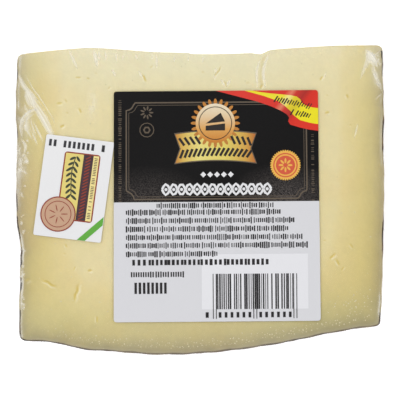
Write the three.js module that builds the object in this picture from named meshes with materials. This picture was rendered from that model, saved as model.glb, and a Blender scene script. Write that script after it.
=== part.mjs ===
// A film-wrapped wedge of hard cheese, lying on its lower cut face.
// Millimetres, +Z up. +X runs along the height of the wheel that the wedge was cut from, and
// +Y points from the rim to the thin tip. The upper cut face rises from the tip to the rim.
import * as THREE from 'three';

// Driving dimensions
const wheelHeight = 110.4;
const wedgeAngle = THREE.MathUtils.degToRad(17.0);

// The cut face seen square on: x is across the wheel's height and y is the distance from the
// wheel's axis, so the rim lies at large y. The tip was cut a few millimetres short of the axis.
const tipEdge = [
  [-53.0, 5.3], [-43.0, 4.3], [-32.5, 3.7], [-14.0, 5.0], [4.0, 5.5],
  [17.5, 5.4], [21.5, 4.5], [26.0, 3.7], [40.0, 2.9], [52.8, 2.8],
];
const rightSide = [[54.8, 4.6], [55.0, 14.0], [55.2, 26.0], [55.2, 44.0], [54.8, 64.0], [54.1, 84.2]];
const rimEdge = [
  [51.8, 86.6], [39.5, 88.8], [24.0, 91.6], [6.0, 94.2], [-12.0, 95.2], [-32.0, 93.8],
  [-41.5, 92.2], [-52.4, 91.0],
];
const leftSide = [[-54.0, 89.2], [-54.0, 64.0], [-55.0, 48.0], [-55.0, 30.0], [-55.3, 14.0], [-54.5, 6.6]];

// The tight film rounds the cut edges: each cut face is drawn in by edgeInset, and the rounding
// takes edgeShare of the wedge's angle.
const edgeInset = 1.9;
const edgeShare = 0.06;
const edgeRows = 3;
const angleRows = 22;
const outlineStep = 1.9;

// Rind pressed by the mould: a plaited band round the rim and a herringbone on the flat sides.
const rimReliefDepth = 0.32;
const rimStrandPitch = 8.0;
const rimZigzag = 28.0;
const sideReliefDepth = 0.2;
const sideGroovePitch = 9.0;
const sideReliefReach = 5.0;
const rimReliefReach = 8.0;

// The labels lie on the upper cut face. Their centres are given from the wheel's axis.
const labelThickness = 0.3;
const labelGap = 0.3;
const frontLabel = { width: 61.8, height: 69.8, corner: 0.9, x: 5.4, y: 50.9, turn: 0 };
const smallLabel = { width: 20.2, height: 30.4, corner: 0.6, x: -38.0, y: 45.5, turn: -7.4 };

const cheeseMaterial = new THREE.MeshStandardMaterial({ color: 0xdfd09e, roughness: 0.35, metalness: 0 });
const frontLabelMaterial = new THREE.MeshStandardMaterial({ color: 0x2b2829, roughness: 0.4, metalness: 0 });
const smallLabelMaterial = new THREE.MeshStandardMaterial({ color: 0xe7e7e9, roughness: 0.5, metalness: 0 });

// Points in the plane of the cut face, where y runs from the rim towards the axis.
function facePoints(pairs) {
  return pairs.map(([x, radius]) => new THREE.Vector2(x, -radius));
}

// The outline of the cut face as evenly spaced points, counter-clockwise.
function cutFaceOutline() {
  const edges = [leftSide, rimEdge, rightSide, tipEdge].map((edge) => facePoints(edge).reverse());
  const outline = new THREE.Path();
  outline.moveTo(edges[0][0].x, edges[0][0].y);
  edges.forEach((edge, index) => {
    const next = edges[(index + 1) % edges.length][0];
    const last = edge[edge.length - 1];
    const vertical = index % 2 === 0;
    outline.splineThru(edge.slice(1));
    outline.quadraticCurveTo(vertical ? last.x : next.x, vertical ? next.y : last.y, next.x, next.y);
  });
  const count = Math.round(outline.getLength() / outlineStep);
  return outline.getSpacedPoints(count).slice(0, count);
}

// How far along the wedge's angle a row lies, from 0 to 1, and how far it is drawn in.
function rowPlace(row) {
  const fromEnd = Math.min(row, angleRows - row);
  const turn = Math.min(fromEnd / edgeRows, 1) * Math.PI / 2;
  const rounding = edgeShare * (1 - Math.cos(turn));
  const straight = Math.max(fromEnd - edgeRows, 0) / (angleRows - 2 * edgeRows) * (1 - 2 * edgeShare);
  const share = rounding + straight;
  return { share: row <= angleRows / 2 ? share : 1 - share, inset: edgeInset * (1 - Math.sin(turn)) };
}

// Round ridges and grooves between -1 and 1.
function strands(distance, pitch) {
  return Math.cos(2 * Math.PI * distance / pitch);
}

// A zigzag line between 0 and half a pitch.
function zigzag(distance, pitch) {
  return Math.abs(distance - pitch * Math.round(distance / pitch));
}

// The plaited band: slanting strands that turn back at each zigzag.
function rimRelief(x, arcLength) {
  return rimReliefDepth * strands(arcLength + zigzag(x, rimZigzag), rimStrandPitch);
}

// The herringbone of the press board, mirrored about the middle of the wedge.
function sideRelief(radius, angle) {
  const across = Math.abs(radius * (angle - wedgeAngle / 2));
  return sideReliefDepth * strands(radius + across, sideGroovePitch);
}

// The wedge is the outline swept about the wheel's axis, from the lower cut face at 0 to the
// upper one at the wedge's angle.
function wedgeGeometry() {
  const shape = new THREE.Shape(cutFaceOutline());
  const geometry = new THREE.ExtrudeGeometry(shape, { depth: angleRows, steps: angleRows, bevelEnabled: false });
  const position = geometry.attributes.position;
  const half = wheelHeight / 2;
  const rimRadius = Math.max(...rimEdge.map(([, radius]) => radius));
  const middle = -rimRadius / 2;
  for (let i = 0; i < position.count; i++) {
    const { share, inset } = rowPlace(Math.round(position.getZ(i)));
    const angle = share * wedgeAngle;
    let x = position.getX(i) * (1 - inset / half);
    let y = middle + (position.getY(i) - middle) * (1 - inset / (rimRadius / 2));
    const sideShare = THREE.MathUtils.smoothstep(Math.abs(x), half - sideReliefReach, half - inset);
    const rimShare = THREE.MathUtils.smoothstep(-y, rimRadius - 2 * rimReliefReach, rimRadius - rimReliefReach);
    x += Math.sign(x) * sideShare * sideRelief(-y, angle);
    y -= rimShare * rimRelief(x, angle * rimRadius);
    position.setXYZ(i, x, y * Math.cos(angle), -y * Math.sin(angle));
  }
  geometry.computeVertexNormals();
  return geometry;
}

// A thin sheet with round corners, centred on its own origin, its back at z 0.
function labelGeometry({ width, height, corner }) {
  const right = width / 2;
  const top = height / 2;
  const outline = new THREE.Shape();
  outline.moveTo(-right + corner, -top);
  outline.lineTo(right - corner, -top);
  outline.absarc(right - corner, -top + corner, corner, -Math.PI / 2, 0);
  outline.absarc(right - corner, top - corner, corner, 0, Math.PI / 2);
  outline.absarc(-right + corner, top - corner, corner, Math.PI / 2, Math.PI);
  outline.absarc(-right + corner, -top + corner, corner, Math.PI, Math.PI * 1.5);
  return new THREE.ExtrudeGeometry(outline, { depth: labelThickness, curveSegments: 4, bevelEnabled: false });
}

function labelMesh(name, label, material) {
  const mesh = new THREE.Mesh(labelGeometry(label), material);
  mesh.name = name;
  mesh.position.set(label.x, -label.y, labelGap);
  mesh.rotation.z = THREE.MathUtils.degToRad(label.turn);
  return mesh;
}

const wedge = new THREE.Mesh(wedgeGeometry(), cheeseMaterial);
wedge.name = 'wrapped_wedge';

// The upper cut face's own frame: x across, y towards the axis, z out of the face.
const upperFace = new THREE.Group();
upperFace.rotation.x = -wedgeAngle;
upperFace.add(labelMesh('front_label', frontLabel, frontLabelMaterial));
upperFace.add(labelMesh('small_label', smallLabel, smallLabelMaterial));

// The origin is under the middle of the wedge's box, so the wheel's axis is moved off to +Y.
wedge.geometry.computeBoundingBox();
const boxCentre = wedge.geometry.boundingBox.getCenter(new THREE.Vector3());
const cheese = new THREE.Group();
cheese.position.set(-boxCentre.x, -boxCentre.y, 0);
cheese.add(wedge, upperFace);

export default cheese;
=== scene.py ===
"""A wedge of hard cheese in tight clear film, with a printed front label and a small sticker."""
import math

import bpy
import numpy as np
from bpy.props import FloatProperty, FloatVectorProperty, IntProperty, PointerProperty
from mathutils import Matrix, Vector, geometry
from mathutils.bvhtree import BVHTree


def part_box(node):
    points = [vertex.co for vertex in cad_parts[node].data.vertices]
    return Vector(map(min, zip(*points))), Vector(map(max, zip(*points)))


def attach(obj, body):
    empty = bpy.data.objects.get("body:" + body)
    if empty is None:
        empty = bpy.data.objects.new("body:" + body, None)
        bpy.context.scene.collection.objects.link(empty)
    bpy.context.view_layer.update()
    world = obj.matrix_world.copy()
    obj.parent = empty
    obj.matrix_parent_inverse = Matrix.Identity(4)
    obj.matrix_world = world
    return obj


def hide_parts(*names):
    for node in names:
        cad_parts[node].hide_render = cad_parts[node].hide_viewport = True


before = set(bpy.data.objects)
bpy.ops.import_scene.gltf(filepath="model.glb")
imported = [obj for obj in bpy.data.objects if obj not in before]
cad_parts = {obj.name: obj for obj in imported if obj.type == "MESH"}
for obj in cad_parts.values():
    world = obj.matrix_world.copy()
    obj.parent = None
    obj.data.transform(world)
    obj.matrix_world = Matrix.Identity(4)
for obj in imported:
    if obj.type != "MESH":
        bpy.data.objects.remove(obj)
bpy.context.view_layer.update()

bl_info = {
    "name": "Wrapped cheese wedge",
    "version": (1, 0, 0),
    "blender": (4, 5, 0),
    "location": "View3D > Sidebar > Cheese",
    "description": "Adds a film-wrapped wedge of hard cheese with its labels and a studio stage",
    "category": "Add Mesh",
}

MM = 0.001
WEDGE_ANGLE = math.radians(17.0)

# Unit vectors out of the upper cut face and up it, from the rim to the tip.
FACE_OUT = np.array([0, math.sin(WEDGE_ANGLE), math.cos(WEDGE_ANGLE)])
FACE_UP = np.array([0, math.cos(WEDGE_ANGLE), -math.sin(WEDGE_ANGLE)])

# Half the wheel's height and its radius, in millimetres.
HALF_HEIGHT = 55.2
RIM_RADIUS = 95.2

# The cut face seen square on, in millimetres: across the wheel's height, and from its axis.
TIP_EDGE = [
    (-53.0, 5.1), (-51.0, 4.75), (-42.0, 3.8), (-33.0, 3.2), (-23.8, 3.7), (-14.6, 4.4),
    (-4.0, 4.75), (-2.2, 5.05), (3.8, 5.1), (11.0, 4.95), (15.2, 4.8), (18.0, 5.1),
    (19.8, 4.4), (21.2, 3.85), (26.7, 3.35), (39.0, 2.6), (46.0, 2.45), (52.9, 2.4),
]
RIGHT_SIDE = [
    (54.9, 4.4), (54.9, 10.4), (55.35, 24.8), (55.15, 32.0), (55.45, 44.0), (55.15, 64.0),
    (54.75, 78.5), (54.4, 84.7),
]
RIM_EDGE = [
    (52.6, 87.0), (45.4, 87.95), (36.2, 89.65), (26.3, 91.75), (14.0, 93.7), (2.5, 95.0),
    (-7.1, 95.5), (-16.0, 95.4), (-24.0, 94.75), (-33.7, 94.1), (-38.2, 93.3), (-40.9, 92.5),
    (-45.6, 91.75), (-52.6, 91.35),
]
LEFT_SIDE = [
    (-54.5, 89.2), (-54.55, 83.3), (-54.45, 77.5), (-54.2, 73.5), (-54.25, 71.0), (-54.2, 66.0),
    (-54.0, 63.5), (-55.1, 56.4), (-55.4, 48.8), (-55.25, 38.0), (-55.0, 32.0), (-55.45, 22.0),
    (-55.2, 14.0), (-54.85, 6.6),
]

# The tight film rounds the cut edges: each cut face is drawn in by EDGE_INSET, and the rounding
# takes EDGE_SHARE of the wedge's angle in EDGE_ROWS rows of points.
EDGE_INSET = 1.9
EDGE_SHARE = 0.06
EDGE_ROWS = 8

# The front label's top left corner on the cut face. Its top runs LABEL_SLOPE up for each
# millimetre to the right, and it widens by LABEL_SPREAD for each millimetre down.
LABEL_LEFT = -25.9
LABEL_TOP = 16.35
LABEL_SLOPE = 0.008
LABEL_SPREAD = 0.00021
LABEL_WIDTH = 61.2
LABEL_HEIGHT = 69.2

# The front label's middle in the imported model, and how far it is off the cut face there.
LABEL_CENTRE = (5.4, 50.9)
LABEL_MIDDLE_LIFT = 0.45

# The sticker's centre, sizes and turn, and how far it is skewed to the right for each
# millimetre up.
STICKER_CENTRE = (-37.93, 45.4)
STICKER_SIZE = (20.45, 30.45)
STICKER_TURN = math.radians(-6.95)
STICKER_SKEW = 0.0122

# Eyes and slits in the paste: across, from the axis, half length, half width, direction in
# degrees from across, depth.
EYES = [
    (-45.1, 73.9, 2.1, 0.36, -29, 0.30), (-37.2, 76.7, 2.4, 0.44, 74, 0.34),
    (39.7, 65.7, 1.05, 0.36, 51, 0.34), (41.3, 67.5, 0.95, 0.32, -50, 0.28),
    (42.8, 69.4, 0.55, 0.24, 70, 0.24), (45.4, 62.6, 0.75, 0.28, -38, 0.20),
    (-16.7, 12.3, 1.1, 0.36, -55, 0.28), (5.2, 10.6, 1.9, 0.26, 58, 0.24),
    (7.6, 14.1, 0.9, 0.30, -50, 0.22), (18.4, 14.7, 0.7, 0.36, 80, 0.25),
    (36.4, 12.3, 0.65, 0.34, 75, 0.25), (44.2, 17.7, 0.55, 0.36, -50, 0.26),
    (38.1, 22.6, 0.6, 0.42, 30, 0.26), (38.1, 17.4, 0.35, 0.25, 0, 0.12),
    (45.0, 26.4, 0.35, 0.25, 0, 0.12), (37.4, 61.0, 0.35, 0.25, 0, 0.15),
    (-40.2, 62.6, 0.5, 0.28, -50, 0.22), (-40.7, 65.0, 0.3, 0.22, 0, 0.14),
    (-37.7, 69.4, 0.55, 0.22, 80, 0.20), (-33.1, 70.0, 0.55, 0.42, 30, 0.28),
    (-30.9, 84.6, 0.85, 0.30, -75, 0.25), (-51.9, 72.9, 0.8, 0.5, 40, 0.12),
    (-41.4, 26.7, 0.6, 0.40, 45, 0.30), (-36.6, 12.1, 0.8, 0.30, 10, 0.22),
    (-33.6, 12.4, 0.4, 0.28, 0, 0.20), (-42.2, 19.8, 0.8, 0.40, 15, 0.22),
    (-36.0, 22.0, 0.8, 0.35, -50, 0.24), (-27.3, 15.3, 0.5, 0.30, 60, 0.15),
    (-40.3, 19.1, 0.6, 0.34, -40, 0.14), (-39.9, 22.7, 0.35, 0.26, 0, 0.14),
    (-31.3, 10.9, 0.35, 0.22, 0, 0.12), (-14.6, 8.9, 0.5, 0.35, 60, 0.14),
    (0.8, 10.5, 0.4, 0.35, 0, 0.10), (14.3, 13.7, 0.5, 0.4, 40, 0.10),
    # The last entry, long and shallow, paints the shade beside a pleat of film as a dark line.
    (-46.9, 22.0, 3.6, 0.26, -57, 0.12),
]

# The crack that runs in from the tip: points across and from the axis.
CRACK = [(19.8, 4.0), (18.6, 8.0), (18.2, 12.0), (18.6, 16.0)]

# Pleats of gathered film on the cut face: width, then points across and from the axis.
PLEATS = [
    (1.6, [(-54.7, 10.6), (-53.4, 13.6), (-51.9, 16.2), (-50.4, 18.6)]),
    (3.4, [(-52.2, 15.2), (-51.2, 17.8), (-50.6, 19.4), (-49.9, 21.6)]),
    (2.7, [(-51.2, 17.0), (-49.5, 20.2), (-47.9, 23.0), (-46.3, 26.0), (-44.8, 28.8), (-43.0, 32.4)]),
    (0.8, [(-51.2, 18.6), (-50.0, 20.5), (-47.7, 23.8), (-46.6, 25.9), (-45.4, 28.4), (-44.6, 30.6)]),
    (0.6, [(-53.0, 10.4), (-50.5, 14.8), (-48.2, 18.0), (-44.9, 23.2), (-43.0, 27.2)]),
    (0.5, [(-53.8, 12.0), (-51.2, 15.9), (-48.5, 19.4), (-46.3, 22.7), (-44.4, 26.4)]),
    (0.8, [(-52.6, 19.4), (-52.3, 21.4), (-50.4, 22.6)]),
    (1.3, [(-48.4, 21.2), (-50.7, 22.2), (-53.1, 24.0)]),
    (1.5, [(-48.6, 21.7), (-50.9, 22.1), (-52.4, 23.5), (-53.4, 25.4), (-53.8, 27.6), (-53.2, 30.8)]),
    (1.2, [(-48.9, 22.6), (-51.2, 23.8), (-52.0, 25.4), (-52.2, 27.0), (-51.6, 28.4), (-50.2, 31.0)]),
    (0.9, [(-50.1, 25.0), (-48.6, 28.2), (-47.0, 31.7)]),
    (0.7, [(-50.8, 24.2), (-50.2, 27.0), (-49.0, 29.8)]),
    (0.8, [(-50.5, 28.2), (-49.4, 30.8), (-48.9, 32.6)]),
    (1.2, [(-53.8, 30.4), (-52.4, 32.6), (-52.8, 35.2)]),
    (1.3, [(-52.5, 35.6), (-51.6, 38.4)]), (1.2, [(-54.4, 36.4), (-53.7, 39.4)]),
    (3.1, [(49.6, 3.6), (50.9, 5.5), (52.0, 7.1), (52.9, 9.0)]), (2.2, [(50.3, 4.2), (52.6, 7.8)]),
    (1.3, [(50.3, 4.0), (49.8, 7.4), (49.1, 9.8), (48.0, 12.8)]), (0.7, [(51.0, 6.2), (50.0, 9.4)]),
    (1.3, [(51.7, 6.6), (52.0, 9.4), (53.0, 12.2), (54.1, 14.6), (54.9, 16.8)]),
    (0.8, [(51.0, 8.2), (52.2, 11.4), (53.8, 14.8)]), (0.7, [(52.0, 12.9), (53.2, 14.2), (54.2, 15.8)]),
    (0.7, [(51.9, 5.8), (53.2, 4.8), (54.2, 4.2)]), (0.6, [(52.4, 18.6), (54.9, 16.7)]),
    (1.1, [(-39.5, 3.6), (-38.2, 6.4), (-36.7, 9.8)]), (1.5, [(-31.9, 3.6), (-31.3, 6.2), (-30.8, 9.2)]),
    (0.8, [(-30.4, 3.8), (-30.2, 7.4)]), (0.7, [(-28.4, 4.2), (-28.3, 7.2)]),
    (1.0, [(-26.5, 9.4), (-25.3, 11.8)]), (0.7, [(-25.1, 4.6), (-25.1, 7.4)]),
    (0.6, [(-23.1, 5.0), (-23.1, 7.0)]), (0.6, [(-19.3, 4.9), (-18.9, 7.0)]),
    (0.8, [(-18.6, 10.0), (-17.1, 12.3)]), (0.6, [(-14.5, 5.2), (-14.4, 7.0)]),
    (0.8, [(-13.2, 5.2), (-13.0, 9.6)]), (0.6, [(-7.7, 5.6), (-7.7, 7.7)]),
    (0.6, [(-3.6, 5.6), (-3.6, 7.6)]), (0.8, [(0.8, 5.6), (0.8, 7.6)]),
    (0.9, [(4.7, 9.2), (4.6, 10.8)]), (0.8, [(4.2, 11.0), (4.5, 12.8)]),
    (1.0, [(6.1, 12.6), (7.7, 14.8)]), (1.0, [(9.1, 12.4), (8.0, 15.1)]),
    (1.0, [(18.2, 6.0), (17.1, 9.6), (17.0, 12.0), (17.3, 15.6)]),
    (1.2, [(20.8, 4.2), (19.6, 7.7), (18.9, 11.0), (19.8, 15.9)]),
    (0.5, [(37.9, 10.3), (37.1, 12.5)]), (0.7, [(47.4, 25.8), (46.2, 30.6)]),
]

# Patches strewn with fine curled creases: two opposite corners, how many creases and how long the
# longest is. Each crease is a line of steps of CURL_STEP.
CURL_STEP = 0.4
CURLS = [
    ((-54.7, 31.0), (-51.7, 40.5), 16, 3.0), ((-54.2, 42.0), (-52.6, 60.0), 6, 3.0),
    ((51.2, 5.2), (54.2, 14.4), 12, 2.0), ((-53.8, 62.0), (-52.8, 88.0), 14, 1.2),
]

# Spacing of the film's points on its upper face, on its lower face and round it.
FILM_STEPS = (0.8, 1.6, 0.9)

# Steps from the lower cut face to the upper, between those that round the edges.
CHEESE_ROWS = 58
FILM_ROWS = 36

# Where the film is gathered or hazy on the cut face: across, from the axis, the two half sizes, how much it
# is gathered and how hazy it is. The patch at -32.4 across is a painted soft highlight, drawn as haze.
GATHERS = [
    (-52.6, 27.0, 2.6, 7.0, 1.0, 0.12), (-50.9, 18.5, 1.3, 1.7, 0.4, 0.30),
    (-53.6, 36.0, 2.2, 6.0, 1.0, 0.14), (51.5, 6.3, 1.5, 1.6, 0.5, 0.45),
    (53.2, 11.6, 1.4, 3.0, 0.7, 0.12), (-32.4, 20.5, 1.2, 3.4, 0.0, 0.36),
    (-13.0, 5.0, 30.0, 2.0, 0.1, 0.10), (-54.6, 41.0, 0.9, 10.5, 0.2, 0.38),
]

# Stretches of the upper edge where the rind shows dark, and where a white highlight is painted on the film
# over the rounded edge: -1 for the left side or 1 for the right, from and to in distance from the axis, and
# how strong.
DARK_EDGES = [
    (-1, 9.7, 12.8, 0.85), (-1, 17.8, 20.0, 0.4), (-1, 27.6, 30.4, 0.85), (-1, 36.8, 38.6, 0.4),
    (-1, 45.4, 47.0, 0.5), (-1, 46.8, 52.4, 1.1), (-1, 53.5, 61.0, 1.0), (-1, 63.2, 69.2, 1.15),
    (-1, 72.2, 76.4, 1.15), (-1, 76.0, 78.2, 0.4), (-1, 81.8, 92.0, 1.0), (1, 2.5, 6.8, 1.0),
    (1, 5.6, 11.6, 0.7), (1, 18.6, 21.2, 0.6), (1, 23.6, 34.6, 0.95), (1, 34.6, 38.6, 0.45),
    (1, 53.0, 55.0, 0.6), (1, 54.8, 64.4, 1.0), (1, 64.4, 66.6, 0.5), (1, 82.4, 88.0, 1.0),
]
HIGHLIGHT_EDGES = [
    (-1, 5.0, 21.0, 0.5), (-1, 58.5, 91.0, 0.9), (1, 17.7, 20.4, 0.5), (1, 20.4, 38.4, 0.35),
    (1, 77.0, 83.5, 0.7),
]

# The rind's width on the cut face: everywhere, more where it shows dark, and more again where it is
# darkest.
RIND_WIDTH = 0.15
DARK_WIDTH = 0.2
DARKEST_WIDTH = 0.27

# How far in from the rind the paste's colour changes. Its darkening towards the rind is partly the paste's
# own colour and partly painted shade.
PASTE_DEPTH = 14.0

# Slow changes of the paste's tone: how strong, the fields that they follow, each from where to where it
# grows, and what they multiply red, green and blue by. Those towards the rim, from 66 mm out, grey and
# darken the paste partly as painted shade.
PASTE_TONES = [
    (0.5, [("across", -20, -45), ("radius", 20, 75)], (0.955, 0.93, 0.83)),
    (1.0, [("across", 20, 45), ("radius", 20, 75)], (0.955, 0.93, 0.83)),
    (1.0, [("across", 5, 40), ("radius", 66, 86)], (0.91, 0.925, 0.97)),
    (1.0, [("radius", 73, 86)], (0.98, 1.02, 1.1)),
    (1.0, [("off_middle", 30, 10), ("radius", 73, 86)], (0.95, 0.93, 0.93)),
    (1.0, [("across", -46, -51), ("radius", 28, 46), ("radius", 68, 58)], (0.95, 0.91, 0.96)),
]


def linear(red, green, blue, alpha=1.0):
    """A colour as a picture shows it, 0 to 255, in Blender's linear values."""
    shares = np.array([red, green, blue]) / 255
    return (*np.where(shares <= 0.04045, shares / 12.92, ((shares + 0.055) / 1.055) ** 2.4).tolist(), alpha)


def length(name, description, millimetres, least=0.0):
    """A setting that is a length."""
    return FloatProperty(name=name, description=description, default=millimetres * MM, min=least * MM,
                         unit="LENGTH")


class CheeseSettings(bpy.types.PropertyGroup):
    cap_step: length("Cut face step", "Spacing of the points on the upper cut face", 0.62, 0.3)
    under_step: length("Lower face step", "Spacing of the points on the lower cut face", 1.1, 0.5)
    rind_step: length("Rind step", "Spacing of the points round the rind", 0.75, 0.3)
    rim_depth: length("Rim relief", "Depth of the plaited imprint on the rim", 0.32)
    strand_pitch: length("Strand pitch", "Spacing of the plait's strands", 8)
    zigzag: length("Zigzag", "Length of one turn of the plait", 28)
    side_depth: length("Side relief", "Depth of the press marks on the flat sides", 0.2)
    groove_pitch: length("Groove pitch", "Spacing of the press marks", 9)
    film_gap: length("Under the film", "How far the cheese lies inside the film", 0.15)


class FilmSettings(bpy.types.PropertyGroup):
    wrinkle_height: length("Wrinkle height", "Height of the wrinkles where the film is gathered", 0.3)
    wrinkle_size: length("Wrinkle size", "Spacing of the wrinkles", 3.6)
    pleat_height: FloatProperty(
        name="Pleat height", description="Height of a pleat for each unit of its width", default=0.1)
    seed: IntProperty(name="Seed", description="Seed of the wrinkles, curls and crystals", default=7)
    haze: FloatProperty(
        name="Haze", description="How white the smooth film is", default=0.008, subtype="FACTOR")


class LabelSettings(bpy.types.PropertyGroup):
    sheet_lift: length("Sheet lift", "Height of the labels' printed side over the cut face", 0.3)
    sheet_thickness: length("Sheet thickness", "Thickness of the labels' paper", 0.14)
    ink_thickness: length("Ink thickness", "Thickness of one printed layer", 0.012)
    dark_colour: FloatVectorProperty(
        name="Dark field", description="Colour of the upper field", size=4, subtype="COLOR",
        default=linear(7, 6, 7))
    pale_colour: FloatVectorProperty(
        name="Pale field", description="Colour of the lower field", size=4, subtype="COLOR",
        default=linear(216, 216, 220))


class StageSettings(bpy.types.PropertyGroup):
    lens: FloatProperty(name="Lens", description="Focal length in millimetres", default=180)
    frame_width: length("Frame width", "Width of the picture at the cut face", 120)
    aim: length("Aim", "Distance from the wheel's axis to the middle of the picture", 48.85)
    floor_size: length("Floor size", "Side of the floor", 8000)
    key_power: FloatProperty(
        name="Key light", description="Power of the key light", default=5, unit="POWER")
    fill_power: FloatProperty(
        name="Fill light", description="Power of the fill light", default=2.5, unit="POWER")
    world_strength: FloatProperty(
        name="World", description="Strength of the light from all round", default=1.2)
    floor_glow: FloatProperty(
        name="Floor glow", description="Light from the floor itself, as on a light table", default=0.5)


# The wheel's axis and the middle of its height in the frame, from where the front label lies.
label_low, label_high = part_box("front_label")
label_middle = (label_low + label_high) / 2
AXIS_Y = label_middle.y + LABEL_CENTRE[1] * MM * FACE_UP[1] - LABEL_MIDDLE_LIFT * MM * FACE_OUT[1]
MIDDLE_X = label_middle.x - LABEL_CENTRE[0] * MM


def on_wheel(across, inward, turn, lift):
    """Places in the frame. inward is minus the distance from the axis, and lift is the height over
    the upper cut face."""
    return np.stack([
        MIDDLE_X + across + 0 * inward,
        AXIS_Y + inward * np.cos(turn) + lift * np.sin(turn),
        -inward * np.sin(turn) + lift * np.cos(turn),
    ], axis=-1)


def unevenness(across, inward):
    """The slow rise and fall of the cut face."""
    height, across_wave, inward_wave = 0.13 * MM, 8.5 * MM, 7.0 * MM
    return height * np.sin(across / across_wave + 0.6) * np.sin(inward / inward_wave + 1.1)


def smooth(value, low, high):
    share = np.clip((value - low) / (high - low), 0, 1)
    return share * share * (3 - 2 * share)


def spline(points, steps=12):
    """An even Catmull-Rom curve through points."""
    p = np.array(points, float)
    padded = np.vstack([p[:1], p, p[-1:]])
    made = [p[0]]
    for i in range(len(p) - 1):
        a, b, c, d = padded[i:i + 4]
        for t in np.arange(1, steps + 1) / steps:
            made.append(0.5 * (2 * b + (c - a) * t + (2 * a - 5 * b + 4 * c - d) * t ** 2
                               + (3 * b - a - 3 * c + d) * t ** 3))
    return np.array(made)


def dense(points, step):
    """The same closed outline with points added on its long runs, so that its corners stay."""
    made = []
    for start, end in zip(points, np.roll(points, -1, axis=0)):
        count = max(1, math.ceil(np.linalg.norm(end - start) / step))
        made.append(start + (end - start) * np.arange(count)[:, None] / count)
    return np.vstack(made)


def resampled(points, step, closed=True):
    """The same line with even steps."""
    line = np.vstack([points, points[:1]]) if closed else np.array(points)
    reached = np.concatenate([[0], np.cumsum(np.linalg.norm(np.diff(line, axis=0), axis=1))])
    count = max(2, round(reached[-1] / step))
    at = np.linspace(0, reached[-1], count + 1)
    even = np.stack([np.interp(at, reached, line[:, k]) for k in range(2)], axis=1)
    return even[:-1] if closed else even


def inside(points, loops):
    """Which points lie inside the loops, by counting crossings."""
    hit = np.zeros(len(points), bool)
    for loop in loops:
        for (ax, ay), (bx, by) in zip(loop, np.roll(loop, -1, axis=0)):
            if ay == by:
                continue
            crosses = (points[:, 1] > ay) != (points[:, 1] > by)
            at = ax + (points[:, 1] - ay) * (bx - ax) / (by - ay)
            hit ^= crosses & (points[:, 0] < at)
    return hit


def even_grid(low, high, step):
    """Evenly strewn points over a box."""
    rows, columns = np.arange(low[1], high[1], step * 0.866), np.arange(low[0], high[0], step)
    places = [(x + (k % 2) * step / 2, y) for k, y in enumerate(rows) for x in columns]
    return np.array(places).reshape(-1, 2)


def filled(loops, step, details=()):
    """Points and triangles that fill the loops: the loops' points first, then even ones inside.
    details are places and how far round each the points lie closer."""
    rim = np.vstack(loops)
    grid = even_grid(rim.min(0), rim.max(0), step)
    for place, reach in details:
        fine = even_grid(np.array(place) - reach, np.array(place) + reach, 0.22 * MM)
        grid = np.vstack([grid[np.linalg.norm(grid - place, axis=1) > reach],
                          fine[np.linalg.norm(fine - place, axis=1) < reach]])
    if len(grid):
        grid = grid[inside(grid, loops)]
    if len(grid):
        near = np.ones(len(grid), bool)
        for block in range(0, len(grid), 2000):
            gap = np.linalg.norm(grid[block:block + 2000, None] - rim[None], axis=2).min(1)
            near[block:block + 2000] = gap > step * 0.6
        grid = grid[near]
    points = np.vstack([rim, grid]) if len(grid) else rim
    edges, start = [], 0
    for loop in loops:
        n = len(loop)
        edges += [(start + k, start + (k + 1) % n) for k in range(n)]
        start += n
    middle = points.mean(0)
    made = geometry.delaunay_2d_cdt([Vector(p) for p in (points - middle) * 1000], edges, [], 1, 1e-7)
    source = [origin[0] for origin in made[3]]
    triangles = np.array([[source[k] for k in face] for face in made[2]])
    keep = inside(points[triangles].mean(1), loops)
    return points, triangles[keep]


def new_mesh(name, points, faces, uv=None, **attributes):
    """A mesh object with point attributes, linked to the scene."""
    mesh = bpy.data.meshes.new(name)
    mesh.from_pydata(np.asarray(points).tolist(), [], [list(map(int, face)) for face in faces])
    for key, values in attributes.items():
        values = np.asarray(values, np.float32)
        kind = "FLOAT_VECTOR" if values.ndim == 2 else "FLOAT"
        field = "vector" if values.ndim == 2 else "value"
        mesh.attributes.new(key, kind, "POINT").data.foreach_set(field, values.ravel())
    if uv is not None:
        corners = np.zeros(len(mesh.loops), np.int32)
        mesh.loops.foreach_get("vertex_index", corners)
        mesh.uv_layers.new(name="board").data.foreach_set("uv", np.asarray(uv, np.float32)[corners].ravel())
    thing = bpy.data.objects.new(name, mesh)
    bpy.context.scene.collection.objects.link(thing)
    return thing


def finish_piece(piece, node=None, shade_smooth=True):
    """Hands a finished piece to the frame."""
    piece.data.shade_smooth() if shade_smooth else piece.data.shade_flat()
    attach(piece, "root")
    if node:
        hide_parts(node)


# Node helpers


def put(tree, kind, values=None, out=0, **settings):
    """Adds a node with its settings, sets or links its inputs, and gives one of its outputs."""
    node = tree.nodes.new(kind)
    for key, value in settings.items():
        setattr(node, key, value)
    for key, value in (values or {}).items():
        socket = node.inputs[key] if isinstance(key, int) else next(
            s for s in node.inputs if s.name == key and s.enabled)
        if isinstance(value, bpy.types.NodeSocket):
            tree.links.new(value, socket)
        else:
            socket.default_value = value
    if isinstance(out, str):
        return next(s for s in node.outputs if s.name == out and s.enabled)
    return ([s for s in node.outputs if s.enabled] or [None])[out]


def calc(tree, operation, *values, clamp=False):
    """The result of a Math node."""
    return put(tree, "ShaderNodeMath", dict(enumerate(values)), operation=operation, use_clamp=clamp)


def times(tree, first, *others):
    """The product of several numbers or fields."""
    for other in others:
        first = calc(tree, "MULTIPLY", first, other)
    return first


def xyz(tree, x=0.0, y=0.0, z=0.0):
    return put(tree, "ShaderNodeCombineXYZ", {"X": x, "Y": y, "Z": z})


def vector_calc(tree, operation, *values):
    """The result of a Vector Math node. SCALE takes a vector and a number."""
    if operation == "SCALE":
        values = {0: values[0], "Scale": values[1]}
    else:
        values = dict(enumerate(values))
    return put(tree, "ShaderNodeVectorMath", values, operation=operation)


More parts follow.
